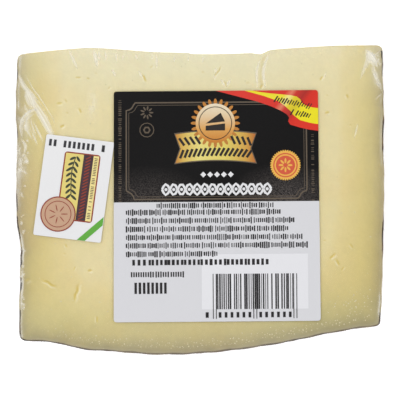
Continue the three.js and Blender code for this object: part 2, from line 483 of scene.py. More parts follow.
def new_tree(name, **sockets):
    """A geometry tree with named inputs, and the sockets that they give."""
    tree = bpy.data.node_groups.new(name, "GeometryNodeTree")
    tree.interface.new_socket("Geometry", in_out="OUTPUT", socket_type="NodeSocketGeometry")
    tree.interface.new_socket("Geometry", in_out="INPUT", socket_type="NodeSocketGeometry")
    for key, default in sockets.items():
        kind = {"Material": "NodeSocketMaterial", "int": "NodeSocketInt", "bool": "NodeSocketBool"}.get(
            default if default == "Material" else type(default).__name__, "NodeSocketFloat")
        made = tree.interface.new_socket(key.replace("_", " ").capitalize(), in_out="INPUT",
                                         socket_type=kind)
        if kind != "NodeSocketMaterial":
            made.default_value = default
    outputs = tree.nodes.new("NodeGroupInput").outputs
    given = {"geometry": outputs["Geometry"]}
    for key in sockets:
        given[key] = outputs[key.replace("_", " ").capitalize()]
    return tree, given


def end_tree(tree, made, material):
    """Closes a tree: realized, with its material."""
    real = put(tree, "GeometryNodeRealizeInstances", {"Geometry": made})
    put(tree, "NodeGroupOutput", {"Geometry": put(
        tree, "GeometryNodeSetMaterial", {"Geometry": real, "Material": material})})


def named(tree, name, kind="FLOAT"):
    """A point attribute, as a field."""
    return put(tree, "GeometryNodeInputNamedAttribute", {"Name": name}, data_type=kind)


def stored(tree, made, name, value):
    """The geometry with a point attribute more."""
    return put(tree, "GeometryNodeStoreNamedAttribute", {"Geometry": made, "Name": name, "Value": value},
               data_type="FLOAT", domain="POINT")


def grown(thing, tree, **values):
    """The mesh that a geometry tree makes of a thing, in its place."""
    modifier = thing.modifiers.new(tree.name, "NODES")
    modifier.node_group = tree
    for item in tree.interface.items_tree:
        key = item.name.lower().replace(" ", "_")
        if item.in_out == "INPUT" and key in values:
            modifier[item.identifier] = values[key]
    graph = bpy.context.evaluated_depsgraph_get()
    mesh = bpy.data.meshes.new_from_object(thing.evaluated_get(graph), depsgraph=graph)
    thing.modifiers.remove(modifier)
    old = thing.data
    thing.data = mesh
    bpy.data.meshes.remove(old)
    mesh.name = thing.name
    return thing


def coordinates(thing):
    flat = np.zeros(len(thing.data.vertices) * 3, np.float32)
    thing.data.vertices.foreach_get("co", flat)
    return flat.reshape(-1, 3).astype(float)


def lay_on_face(thing, lift=0.0):
    """Bends a flat drawing, x across and y inward, onto the upper cut face."""
    across, inward, height = coordinates(thing).T
    placed = on_wheel(across, inward, WEDGE_ANGLE, height + lift + unevenness(across, inward))
    thing.data.vertices.foreach_set("co", placed.astype(np.float32).ravel())
    thing.data.update()
    return thing


# Geometry trees


def press_relief_tree():
    """The mould's imprint: slanting strands round the rim, and a herringbone on the flat sides."""
    tree, given = new_tree(
        "Press relief", rim_depth=0.0, strand_pitch=0.008, zigzag=0.028, side_depth=0.0,
        groove_pitch=0.009, inset=0.0, cut_material="Material", rind_material="Material")
    radius, turn = named(tree, "radius"), named(tree, "turn")
    rim_out, side_out = (named(tree, name, "FLOAT_VECTOR") for name in ("rim_out", "side_out"))

    def ridges(distance, pitch):
        angle = times(tree, calc(tree, "DIVIDE", distance, pitch), math.tau)
        fibre = calc(tree, "COSINE", times(tree, angle, 5.0))
        return calc(tree, "MULTIPLY_ADD", fibre, 0.15, calc(tree, "COSINE", angle))

    arc = times(tree, turn, RIM_RADIUS * MM)
    slant = calc(tree, "PINGPONG", named(tree, "across"), times(tree, given["zigzag"], 0.5))
    rim = ridges(calc(tree, "ADD", arc, slant), given["strand_pitch"])
    off_middle = calc(tree, "ABSOLUTE", times(tree, radius, calc(tree, "SUBTRACT", turn, WEDGE_ANGLE / 2)))
    side = ridges(calc(tree, "ADD", radius, off_middle), given["groove_pitch"])
    moves = [
        vector_calc(tree, "SCALE", rim_out, times(tree, rim, given["rim_depth"])),
        vector_calc(tree, "SCALE", side_out, times(tree, side, given["side_depth"])),
        vector_calc(tree, "SCALE", put(tree, "GeometryNodeInputNormal"), times(tree, given["inset"], -1.0)),
    ]
    offset = vector_calc(tree, "ADD", vector_calc(tree, "ADD", moves[0], moves[1]), moves[2])
    on_rim = put(tree, "ShaderNodeVectorMath", {0: rim_out}, out="Value", operation="LENGTH")
    ridge = put(tree, "ShaderNodeMix", {"Factor": on_rim, "A": side, "B": rim})
    marked = stored(tree, given["geometry"], "ridge", ridge)
    moved = put(tree, "GeometryNodeSetPosition", {"Geometry": marked, "Offset": offset})
    real = put(tree, "GeometryNodeRealizeInstances", {"Geometry": moved})
    cut = put(tree, "GeometryNodeSetMaterial", {"Geometry": real, "Material": given["cut_material"]})
    rind = put(tree, "GeometryNodeSetMaterial", {
        "Geometry": cut, "Selection": calc(tree, "GREATER_THAN", named(tree, "on_rind"), 0.5),
        "Material": given["rind_material"]})
    put(tree, "NodeGroupOutput", {"Geometry": rind})
    return tree


def wrinkle_tree():
    """Sharp wrinkles that stand off the film where it is gathered."""
    tree, given = new_tree("Film wrinkles", height=0.0, size=0.005, seed=0, material="Material")
    place = vector_calc(tree, "DIVIDE", put(tree, "GeometryNodeInputPosition"),
                        xyz(tree, given["size"], given["size"], given["size"]))
    place = vector_calc(tree, "MULTIPLY", place, (1.0, 0.55, 0.55))
    noise = put(tree, "ShaderNodeTexNoise", {
        "Vector": place, "W": given["seed"], "Scale": 1.0, "Detail": 2.0, "Distortion": 0.9},
        noise_dimensions="4D")
    fold = calc(tree, "ABSOLUTE", calc(tree, "MULTIPLY_ADD", noise, 2.0, -1.0))
    ridge = calc(tree, "SUBTRACT", 1.0, calc(tree, "MULTIPLY", fold, 5.0), clamp=True)
    gathered = times(tree, calc(tree, "POWER", ridge, 1.6), named(tree, "gather"))
    away = vector_calc(tree, "SCALE", put(tree, "GeometryNodeInputNormal"),
                       times(tree, gathered, given["height"]))
    marked = stored(tree, given["geometry"], "crease", gathered)
    end_tree(tree, put(tree, "GeometryNodeSetPosition", {"Geometry": marked, "Offset": away}),
             given["material"])
    return tree


def strip_tree():
    """A flat strip along each path, as wide as its points say, for printed lines."""
    tree, given = new_tree("Strips", height=0.1, material="Material")
    curve = put(tree, "GeometryNodeMeshToCurve", {"Mesh": given["geometry"]})
    curve = put(tree, "GeometryNodeSetCurveNormal", {"Curve": curve}, mode="Z_UP")
    profile = put(tree, "GeometryNodeCurvePrimitiveQuadrilateral", {
        "Width": 1.0, "Height": given["height"]}, mode="RECTANGLE")
    swept = put(tree, "GeometryNodeCurveToMesh", {
        "Curve": curve, "Profile Curve": profile, "Fill Caps": True, "Scale": named(tree, "width")})
    end_tree(tree, swept, given["material"])
    return tree


def pleat_tree():
    """Lens-shaped pleats of film along each path, which thin out to their ends and wander a little."""
    tree, given = new_tree("Pleats", height=0.3, wander=0.0, seed=0, material="Material")
    curve = put(tree, "GeometryNodeMeshToCurve", {"Mesh": given["geometry"]})
    drift = put(tree, "ShaderNodeTexNoise", {
        "Vector": put(tree, "GeometryNodeInputPosition"), "W": given["seed"], "Scale": 420.0,
        "Detail": 1.0}, out="Color", noise_dimensions="4D")
    drift = vector_calc(tree, "SUBTRACT", drift, (0.5, 0.5, 0.5))
    drift = vector_calc(tree, "SCALE", drift, given["wander"])
    curve = put(tree, "GeometryNodeSetPosition", {
        "Geometry": curve, "Offset": vector_calc(tree, "MULTIPLY", drift, (1.0, 1.0, 0.0))})
    curve = put(tree, "GeometryNodeSetCurveNormal", {"Curve": curve}, mode="Z_UP")
    along = put(tree, "GeometryNodeSplineParameter", out="Factor")
    swell = calc(tree, "MAXIMUM", calc(tree, "SINE", times(tree, along, math.pi)), 0.02)
    curve = stored(tree, curve, "swell", swell)
    profile = put(tree, "GeometryNodeCurvePrimitiveCircle", {"Resolution": 12, "Radius": 0.5},
                  mode="RADIUS")
    side = put(tree, "ShaderNodeSeparateXYZ", {"Vector": put(tree, "GeometryNodeInputPosition")}, out="X")
    profile = stored(tree, profile, "side", times(tree, side, 2.0))
    profile = put(tree, "GeometryNodeTransform", {
        "Geometry": profile, "Scale": xyz(tree, 1.0, given["height"], 1.0)})
    swept = put(tree, "GeometryNodeCurveToMesh", {
        "Curve": curve, "Profile Curve": profile, "Fill Caps": True,
        "Scale": times(tree, named(tree, "width"), calc(tree, "POWER", swell, 0.6))})
    end_tree(tree, swept, given["material"])
    return tree


def mark_row_tree():
    """Small blocks in a row along each path: rows of print, bars, and rows of ornament."""
    tree, given = new_tree(
        "Mark rows", pitch=0.001, mark_width=0.5, mark_height=1.0, width_spread=0.0, height_spread=0.0,
        gap_share=0.0, tilt=0.0, side_step=0.0, thickness=0.00005, block_cuts=2, round=False, seed=0,
        material="Material")
    curve = put(tree, "GeometryNodeMeshToCurve", {"Mesh": given["geometry"]})
    curve = put(tree, "GeometryNodeResampleCurve", {"Curve": curve, "Length": given["pitch"]},
                mode="LENGTH")
    index = put(tree, "GeometryNodeInputIndex")

    def chance(low, offset):
        return put(tree, "FunctionNodeRandomValue", {
            "Min": low, "Max": 1.0, "ID": index, "Seed": calc(tree, "ADD", given["seed"], offset)},
            data_type="FLOAT")

    kept = calc(tree, "GREATER_THAN", chance(0.0, 0.0), given["gap_share"])
    facing = put(tree, "FunctionNodeAlignRotationToVector", {
        "Vector": put(tree, "GeometryNodeInputTangent")}, axis="X", pivot_axis="Z")
    facing = put(tree, "FunctionNodeRotateRotation", {
        "Rotation": facing, "Rotate By": xyz(tree, z=given["tilt"])}, rotation_space="LOCAL")
    size = named(tree, "width")
    wide = calc(tree, "MULTIPLY_ADD", chance(-1.0, 11.0), given["width_spread"], 1.0)
    wide = times(tree, wide, given["mark_width"], size)
    tall = calc(tree, "POWER", chance(0.0, 23.0), 2.0)
    tall = calc(tree, "MULTIPLY_ADD", tall, given["height_spread"], 1.0)
    tall = times(tree, tall, given["mark_height"], size)
    step = xyz(tree, y=times(tree, chance(-1.0, 37.0), given["side_step"], size))
    square = put(tree, "GeometryNodeMeshCube", {"Vertices Y": given["block_cuts"]})
    disc = put(tree, "GeometryNodeMeshCylinder", {"Vertices": 16, "Radius": 0.5, "Depth": 1.0})
    block = put(tree, "GeometryNodeSwitch", {
        "Switch": given["round"], "False": square, "True": disc}, input_type="GEOMETRY")
    placed = put(tree, "GeometryNodeInstanceOnPoints", {
        "Points": curve, "Selection": kept, "Instance": block, "Rotation": facing,
        "Scale": xyz(tree, wide, tall, given["thickness"])})
    shifted = put(tree, "GeometryNodeTranslateInstances", {"Instances": placed, "Translation": step})
    end_tree(tree, shifted, given["material"])
    return tree


def petal_tree():
    """Petals in a ring round each point: lobes, rosettes and rays."""
    tree, given = new_tree(
        "Petals", count=12, ring_radius=0.001, petal_length=0.001, petal_width=0.0005, thickness=0.00001,
        material="Material")
    ring = put(tree, "GeometryNodeMeshCircle", {"Vertices": given["count"], "Radius": given["ring_radius"]})
    facing = put(tree, "FunctionNodeAlignRotationToVector", {
        "Vector": put(tree, "GeometryNodeInputPosition")}, axis="X", pivot_axis="Z")
    petal = put(tree, "GeometryNodeMeshCylinder", {"Vertices": 16, "Radius": 0.5, "Depth": 1.0})
    flower = put(tree, "GeometryNodeInstanceOnPoints", {
        "Points": ring, "Instance": petal, "Rotation": facing,
        "Scale": xyz(tree, given["petal_length"], given["petal_width"], given["thickness"])})
    end_tree(tree, put(tree, "GeometryNodeInstanceOnPoints", {
        "Points": given["geometry"], "Instance": flower}), given["material"])
    return tree


def speck_tree():
    """Flattened grains strewn over a surface."""
    tree, given = new_tree(
        "Specks", density=100.0, size=0.0002, flatness=0.5, seed=0, material="Material")
    spread = tree.nodes.new("GeometryNodeDistributePointsOnFaces")
    tree.links.new(given["geometry"], spread.inputs["Mesh"])
    tree.links.new(times(tree, given["density"], named(tree, "speck")), spread.inputs["Density"])
    tree.links.new(given["seed"], spread.inputs["Seed"])
    size = times(tree, given["size"], put(tree, "FunctionNodeRandomValue", {
        "Min": 0.45, "Max": 1.3, "Seed": given["seed"]}, data_type="FLOAT"))
    grain = put(tree, "GeometryNodeMeshIcoSphere", {"Radius": 1.0, "Subdivisions": 2})
    placed = put(tree, "GeometryNodeInstanceOnPoints", {
        "Points": spread.outputs["Points"], "Instance": grain, "Rotation": spread.outputs["Rotation"],
        "Scale": xyz(tree, size, size, times(tree, size, given["flatness"]))})
    end_tree(tree, placed, given["material"])
    return tree


# Materials


def new_material(name, numbers):
    """A Principled material with its plain numbers, its tree and its shader."""
    material = bpy.data.materials.new(name)
    material.use_nodes = True
    tree = material.node_tree
    tree.nodes.clear()
    shader = tree.nodes.new("ShaderNodeBsdfPrincipled")
    tree.links.new(shader.outputs[0], tree.nodes.new("ShaderNodeOutputMaterial").inputs["Surface"])
    for key, value in numbers.items():
        shader.inputs[key].default_value = value
    return material, tree, shader


def attribute(tree, name):
    return put(tree, "ShaderNodeAttribute", out="Fac", attribute_name=name)


def object_place(tree):
    return put(tree, "ShaderNodeTexCoord", out="Object")


def noise(tree, place, scale, detail=2.0, distortion=0.0):
    return put(tree, "ShaderNodeTexNoise", {
        "Vector": place, "Scale": float(scale), "Detail": float(detail), "Distortion": distortion},
        out="Fac")


def colour_ramp(tree, factor, stops):
    """A ramp through (position, colour) stops."""
    node = tree.nodes.new("ShaderNodeValToRGB")
    tree.links.new(factor, node.inputs[0])
    elements = node.color_ramp.elements
    for position, colour in stops[2:]:
        elements.new(position)
    for element, (position, colour) in zip(elements, stops):
        element.position = position
        element.color = colour
    return node.outputs[0]


def mixed(tree, factor, first, second, blend="MIX"):
    return put(tree, "ShaderNodeMix", {"Factor": factor, "A": first, "B": second},
               data_type="RGBA", blend_type=blend)


def share_between(tree, value, low, high):
    """0 to 1 as the value goes from low to high, with soft ends."""
    return put(tree, "ShaderNodeMapRange", {"Value": value, "From Min": low, "From Max": high},
               interpolation_type="SMOOTHSTEP")


def shaded(tree, colour, level):
    """The colour made darker or lighter by a level, where 1 leaves it as it is."""
    grey = put(tree, "ShaderNodeCombineColor", {"Red": level, "Green": level, "Blue": level})
    return mixed(tree, 1.0, colour, grey, "MULTIPLY")


def bumped(tree, shader, height, distance, strength):
    tree.links.new(put(tree, "ShaderNodeBump", {
        "Height": height, "Distance": distance, "Strength": strength}), shader.inputs["Normal"])


def paste_material():
    """Pressed paste: ivory at the tip, warmer in the middle, olive towards the rind. The darkening towards
    the rind is partly painted shade, and the paler tip is painted light shining through the thin paste.
    """
    material, tree, shader = new_material("Cheese paste", {
        "Roughness": 0.46, "Subsurface Weight": 0.12, "Subsurface Radius": (1.0, 0.7, 0.35),
        "Subsurface Scale": 0.0014, "Coat Weight": 0.3, "Coat Roughness": 0.2})
    place = object_place(tree)
    broad = noise(tree, place, 55, 3)
    middling = noise(tree, place, 260, 3)
    fine = noise(tree, place, 1300, 2)
    wander = calc(tree, "MULTIPLY_ADD", noise(tree, place, 190, 2), 1.6, -0.8)
    depth = calc(tree, "ADD", attribute(tree, "rind_depth"), wander)
    depth = calc(tree, "DIVIDE", depth, PASTE_DEPTH, clamp=True)
    # Darker towards the rind: partly the paste's own colour, partly painted shade.
    colour = colour_ramp(tree, depth, [
        (0.0, linear(156, 143, 104)), (0.06, linear(172, 159, 117)), (0.13, linear(186, 172, 123)),
        (0.27, linear(204, 189, 130)), (0.5, linear(217, 201, 139)), (0.85, linear(226, 210, 154)),
        (1.0, linear(228, 215, 166))])
    across = attribute(tree, "across")
    fields = {"across": across, "radius": attribute(tree, "radius"),
              "off_middle": calc(tree, "ABSOLUTE", across)}
    # The tones towards the rim are partly painted shade.
    for strength, spans, tint in PASTE_TONES:
        shares = [share_between(tree, fields[name], start * MM, end * MM) for name, start, end in spans]
        colour = mixed(tree, times(tree, strength, *shares), colour, (*tint, 1.0), "MULTIPLY")

    edge = share_between(tree, attribute(tree, "rind_depth"), 0.5, 0.3)
    colour = mixed(tree, times(tree, edge, attribute(tree, "dark_edge")), colour, linear(78, 62, 42))
    # Paler towards the tip: painted light shining through the thin paste.
    tip = share_between(tree, fields["radius"], 24 * MM, 4 * MM)
    from_palest = calc(tree, "ABSOLUTE", calc(tree, "ADD", across, 6 * MM))
    middle = share_between(tree, from_palest, 52 * MM, 16 * MM)
    tip = times(tree, tip, calc(tree, "MULTIPLY_ADD", middle, 0.55, 0.25))
    colour = mixed(tree, tip, colour, linear(230, 225, 192))
    warm = times(tree, share_between(tree, broad, 0.52, 0.72), 0.45)
    colour = mixed(tree, warm, colour, (0.985, 0.93, 0.86, 1.0), "MULTIPLY")
    grain = calc(tree, "MULTIPLY_ADD", middling, 0.10, calc(tree, "MULTIPLY_ADD", fine, 0.08, 0.91))
    colour = shaded(tree, colour, grain)
    # Eyes: a darker yellow in the hollows that is partly painted shade, and a painted highlight on their
    # pale lips.
    eye = attribute(tree, "eye")
    colour = mixed(tree, calc(tree, "MULTIPLY", eye, 0.85, clamp=True), colour, linear(208, 183, 82))
    colour = mixed(tree, calc(tree, "MULTIPLY", eye, -1.0, clamp=True), colour, linear(243, 236, 206))
    tree.links.new(colour, shader.inputs["Base Color"])
    bumped(tree, shader, calc(tree, "MULTIPLY_ADD", fine, 0.5, middling), 0.12 * MM, 0.6)
    return material


def rind_material():
    """Waxed rind: dark brown, worn paler on the ridges of its imprint and in parts of its upper edge."""
    material, tree, shader = new_material("Cheese rind", {
        "Roughness": 0.65, "Specular IOR Level": 0.15, "Coat Weight": 0.06, "Coat Roughness": 0.3})
    place = object_place(tree)
    patches = noise(tree, place, 120, 4)
    fibres = noise(tree, place, 900, 3)
    wear = calc(tree, "MULTIPLY_ADD", fibres, 0.3, -0.15)
    wear = calc(tree, "MULTIPLY_ADD", patches, 0.9, wear)
    wear = calc(tree, "MULTIPLY_ADD", attribute(tree, "ridge"), 0.22, wear)
    colour = colour_ramp(tree, wear, [
        (0.0, linear(30, 22, 17)), (0.35, linear(46, 34, 26)), (0.62, linear(76, 57, 40)),
        (0.9, linear(122, 97, 67))])
    breaks = share_between(tree, noise(tree, place, 170, 2), 0.38, 0.56)
    unrubbed = times(tree, attribute(tree, "dark_edge"), calc(tree, "MULTIPLY_ADD", breaks, 0.4, 0.75))
    rubbed = calc(tree, "SUBTRACT", 1.0, unrubbed, clamp=True)
    pale = colour_ramp(tree, noise(tree, place, 300, 3), [
        (0.3, linear(134, 118, 86)), (0.5, linear(172, 158, 122)), (0.7, linear(198, 188, 166))])
    ragged = calc(tree, "MULTIPLY_ADD", patches, 1.2, -0.6)
    upward = share_between(tree, calc(tree, "ADD", attribute(tree, "upward"), ragged), 0.25, 0.75)
    colour = mixed(tree, times(tree, rubbed, upward), colour, pale)
    tree.links.new(colour, shader.inputs["Base Color"])
    bumped(tree, shader, calc(tree, "ADD", fibres, patches), 0.3 * MM, 0.7)
    return material


def film_material(haze):
    """Clear film, whiter where it is gathered, partly as painted sheen, with a painted highlight along the
    edge that it rounds, and shining at a slant.
    """
    material, tree, shader = new_material("Clear film", {
        "Base Color": linear(240, 237, 226), "Roughness": 0.12, "IOR": 1.5})
    place = object_place(tree)
    streaks = noise(tree, place, 480, 3, 0.6)
    waves = noise(tree, place, 110, 2)
    patches = share_between(tree, noise(tree, place, 210, 2), 0.34, 0.6)
    slant = put(tree, "ShaderNodeLayerWeight", {"Blend": 0.35}, out="Fresnel")
    broken = calc(tree, "MULTIPLY_ADD", patches, 0.7, 0.3)
    alpha = times(tree, streaks, haze * 2)
    # Whiter where the film is creased or hazy: partly its haze, partly painted sheen. The haze also holds
    # one painted highlight, and the line along the rounded edge is a painted highlight.
    for part in (
            times(tree, attribute(tree, "haze"), share_between(tree, streaks, 0.2, 0.6)),
            times(tree, attribute(tree, "crease"), 0.4),
            times(tree, attribute(tree, "turn_line"), broken),
            times(tree, slant, 0.03)):
        alpha = calc(tree, "ADD", alpha, part, clamp=True)
    tree.links.new(alpha, shader.inputs["Alpha"])
    bumped(tree, shader, calc(tree, "MULTIPLY_ADD", streaks, 0.3, waves), 0.6 * MM, 0.4)
    return material


def pleat_material():
    """Whitish folded film with streaks along the pleat, clear towards its borders and ends. Its whiteness
    is partly the film's haze and partly painted sheen.
    """
    material, tree, shader = new_material("Folded film", {
        "Base Color": linear(234, 229, 213), "Roughness": 0.4, "IOR": 1.35})
    side, width = attribute(tree, "side"), attribute(tree, "width")
    along = vector_calc(tree, "SCALE", object_place(tree), 90.0)
    place = vector_calc(tree, "ADD", along, xyz(tree, times(tree, side, width, 1100.0)))
    streaks = share_between(tree, noise(tree, place, 1, 1), 0.3, 0.7)
    border = calc(tree, "POWER", calc(tree, "ABSOLUTE", side), 2.4)
    body = calc(tree, "SUBTRACT", 1.0, border, clamp=True)
    thickness = calc(tree, "MINIMUM", calc(tree, "MULTIPLY_ADD", width, 400.0, 0.3), 1.3)
    body = times(tree, body, calc(tree, "POWER", attribute(tree, "swell"), 0.7), thickness)
    alpha = times(tree, body, calc(tree, "MULTIPLY_ADD", streaks, 0.34, 0.28))
    tree.links.new(alpha, shader.inputs["Alpha"])
    bumped(tree, shader, streaks, 0.04 * MM, 0.3)
    return material


def print_material(name, colour, grain=0.06, roughness=0.42, shine=0.25, stops=None, along=(1, 0, 0)):
    """Printing ink or paper: its colour or a ramp of colours along the sheet, with fine grain."""
    material, tree, shader = new_material(name, {
        "Roughness": roughness, "Coat Weight": shine, "Coat Roughness": 0.2})
    place = object_place(tree)
    fine = noise(tree, place, 2600, 1)
    cloud = noise(tree, place, 150, 2)
    base = colour
    if stops:
        base = colour_ramp(tree, put(tree, "ShaderNodeVectorMath", {
            0: put(tree, "ShaderNodeUVMap", uv_map="board"), 1: along}, out="Value",
            operation="DOT_PRODUCT"), stops)
    level = calc(tree, "MULTIPLY_ADD", cloud, grain, 1 - 1.5 * grain)
    level = calc(tree, "MULTIPLY_ADD", fine, 2 * grain, level)
    tree.links.new(shaded(tree, base, level), shader.inputs["Base Color"])
    bumped(tree, shader, fine, 0.02 * MM, 0.3)
    return material


def dark_field_material(colour):
    """Glossy black print with a fine grey stipple that thickens low down at both sides."""
    material, tree, shader = new_material("Dark print", {
        "Roughness": 0.45, "Specular IOR Level": 0.22, "Coat Weight": 0.07, "Coat Roughness": 0.1})
    place = object_place(tree)
    board = put(tree, "ShaderNodeUVMap", uv_map="board")
    stipple = share_between(tree, noise(tree, place, 3600, 1), 0.3, 0.72)
    spots = []
    for centre, size, strength in DARK_GLOWS:
        placed = put(tree, "ShaderNodeMapping", {
            "Vector": board, "Location": tuple(-c / s for c, s in zip(centre, size)) + (0.0,),
            "Scale": tuple(1 / s for s in size) + (1.0,)})
        spot = put(tree, "ShaderNodeTexGradient", {"Vector": placed}, out="Fac", gradient_type="SPHERICAL")
        spots.append(times(tree, spot, strength))
    glow = calc(tree, "MULTIPLY_ADD", calc(tree, "MAXIMUM", *spots), 0.62, 0.02)
    grey = mixed(tree, times(tree, glow, stipple), colour, linear(104, 97, 94))
    tree.links.new(grey, shader.inputs["Base Color"])
    bumped(tree, shader, stipple, 0.01 * MM, 0.3)
    return material


# The wedge


def edge_lines():
    """The left side, rim, right side and tip with the round corner after each, in metres."""
    edges = [np.array(edge)[::-1] * (1, -1) for edge in (LEFT_SIDE, RIM_EDGE, RIGHT_SIDE, TIP_EDGE)]
    lines = []
    for index, edge in enumerate(edges):
        start, end = edge[-1], edges[(index + 1) % 4][0]
        corner = np.array([start[0], end[1]] if index % 2 == 0 else [end[0], start[1]])
        t = np.linspace(0, 1, 9)[:, None]
        lines += [spline(edge), (1 - t) ** 2 * start + 2 * t * (1 - t) * corner + t ** 2 * end]
    return [line * MM for line in lines]


def drawn_in(plan, inset):
    """Outline points drawn in towards the middle of the cut face, as the tight film rounds its edge."""
    middle = -RIM_RADIUS / 2 * MM
    return np.stack([
        plan[:, 0] * (1 - inset / HALF_HEIGHT),
        middle + (plan[:, 1] - middle) * (1 - inset / (RIM_RADIUS / 2)),
    ], axis=1)


def wedge_rows(angle_rows):
    """Shares of the wedge's angle and insets in millimetres, from the lower cut face to the upper."""
    t = np.linspace(0, math.pi / 2, EDGE_ROWS + 1)
    share, inset = EDGE_SHARE * (1 - np.cos(t)), EDGE_INSET * (1 - np.sin(t))
    middle = np.linspace(EDGE_SHARE, 1 - EDGE_SHARE, angle_rows + 1)[1:-1]
    return (np.concatenate([share, middle, 1 - share[::-1]]),
            np.concatenate([inset, 0 * middle, inset[::-1]]))


def distance_to(plan, line):
    """How far each point lies from a line of points, in metres."""
    start, run = line[:-1], np.diff(line, axis=0)
    square = np.maximum((run ** 2).sum(1), 1e-18)
    least = np.empty(len(plan))
    for block in range(0, len(plan), 4000):
        gap = plan[block:block + 4000, None] - start
        t = np.clip((gap * run).sum(2) / square, 0, 1)
        least[block:block + 4000] = np.linalg.norm(gap - t[..., None] * run, axis=2).min(1)
    return least


def in_label(across, inward, margin):
    """1 under a label, 0 outside the margin round it, in metres."""
    cover = np.zeros(len(across))
    middles = ((LABEL_CENTRE, (LABEL_WIDTH, LABEL_HEIGHT), 0.0),
               (STICKER_CENTRE, STICKER_SIZE, STICKER_TURN))
    for (x, r), (width, height), turn in middles:
        dx, dy = across / MM - x, inward / MM + r
        right = dx * math.cos(turn) + dy * math.sin(turn)
        up = dy * math.cos(turn) - dx * math.sin(turn)
        outside = np.maximum(np.abs(right) - width / 2, np.abs(up) - height / 2)
        cover = np.maximum(cover, 1 - smooth(outside, 0, margin / MM))
    return cover


def stretches(across, radius, table):
    """How strong a table's stretches of the two sides are at each point. Their ends are soft."""
    r, strong, soft = radius / MM, np.zeros(len(radius)), 0.6
    for side, start, end, strength in table:
        share = smooth(r, start - soft, start + soft) * smooth(r, end + soft, end - soft)
        strong = np.maximum(strong, strength * share * (np.sign(across) == side))
    return strong * smooth(np.abs(across) / MM, 50, 52.5)


def wedge_faces(steps, angle_rows, detailed):
    """The wedge's points, as places on the cut face and shares of the angle, and its faces.
    steps are the spacings on the upper cut face, on the lower one and round the wedge."""
    upper_step, lower_step, side_step = steps
    loop = resampled(np.vstack([line[:-1] for line in edge_lines()]), side_step)
    shares, insets = wedge_rows(angle_rows)
    count, rows = len(loop), len(shares)
    plan = np.vstack([drawn_in(loop, inset) for inset in insets])
    share = np.repeat(shares, count)
    index = np.arange(rows * count).reshape(rows, count)
    after = np.roll(index, -1, axis=1)
    faces = np.stack([index[:-1], after[:-1], after[1:], index[1:]], axis=-1).reshape(-1, 4).tolist()
    eyes = [((x * MM, -r * MM), (half_length + 0.7) * MM) for x, r, half_length, *_ in EYES]
    for row, step, upper in ((rows - 1, upper_step, True), (0, lower_step, False)):
        rim = plan[row * count:(row + 1) * count]
        points, triangles = filled([rim], step, eyes if detailed and upper else ())
        before = len(plan) - count
        triangles = np.where(triangles < count, triangles + row * count, triangles + before)
        plan = np.vstack([plan, points[count:]])
        share = np.concatenate([share, np.full(len(points) - count, float(upper))])
        faces += (triangles if upper else triangles[:, ::-1]).tolist()
    return plan, share, faces


def wedge_mesh(name, steps, angle_rows, dents=None):
    """The wedge as one closed mesh, with what its trees and materials read from it."""
    plan, share, faces = wedge_faces(steps, angle_rows, bool(dents))
    across, inward, turn = plan[:, 0], plan[:, 1], share * WEDGE_ANGLE
    radius, off_middle, none = -inward, np.abs(across), 0 * turn
    lift = unevenness(across, inward) * smooth(share, 0.8, 1.0)
    eye = none
    if dents:
        depth, eye = dents(across, inward, share)
        lift = lift - depth

    # The rind is a line round the cut face, wider where it shows dark.
    lines = edge_lines()
    side_gap = np.minimum(distance_to(plan, lines[0]), distance_to(plan, lines[4])) / MM
    rim_gap = distance_to(plan, np.vstack([lines[1], lines[2], lines[3]])) / MM
    rim_dark = (0.85 + 0.15 * smooth(across / MM, 32, 48)) * smooth(radius / MM, 84, 88.5)
    dark = np.maximum(stretches(across, radius, DARK_EDGES), rim_dark)
    rind_width = RIND_WIDTH + DARK_WIDTH * dark + DARKEST_WIDTH * dark ** 4

    # How far in from the rind each point lies, with a soft change where a side meets the rim. The paste
    # darkens over a longer way from the rim, partly as painted shade on the rim side, away from the light.
    near_rim = rim_gap * (0.61 + 0.1 * smooth(off_middle / MM, 10, 40))
    rind_depth = (np.maximum(side_gap, 0.01) ** -3.0 + np.maximum(near_rim, 0.01) ** -3.0) ** (-1 / 3)

    # The mould's imprint is weaker towards the cut faces.
    calm = 1 - 0.72 * smooth(np.abs(2 * share - 1), 0.62, 0.85)
    side_share = calm * smooth(off_middle / MM, HALF_HEIGHT - 5, HALF_HEIGHT - EDGE_INSET)
    rim_share = calm * smooth(radius / MM, RIM_RADIUS - 16, RIM_RADIUS - 8)

    # A painted highlight on the film just inside the rounded edge.
    shine = np.exp(-((side_gap - 0.95) / 0.23) ** 2) * stretches(across, radius, HIGHLIGHT_EDGES)
    fields = {
        "across": across, "radius": radius, "turn": turn, "eye": eye, "rind_depth": rind_depth,
        "on_rind": np.minimum(side_gap, rim_gap) < rind_width, "upward": smooth(share, 0.925, 0.955),
        "dark_edge": dark, "turn_line": shine * (share > 0.94),
        "side_out": np.stack([np.sign(across) * side_share, none, none], axis=1),
        "rim_out": np.stack([none, -np.cos(turn), np.sin(turn)], axis=1) * rim_share[:, None],
    }
    place = on_wheel(across, inward, turn, 0) + lift[:, None] * FACE_OUT
    return new_mesh(name, place, faces, **fields), plan, share


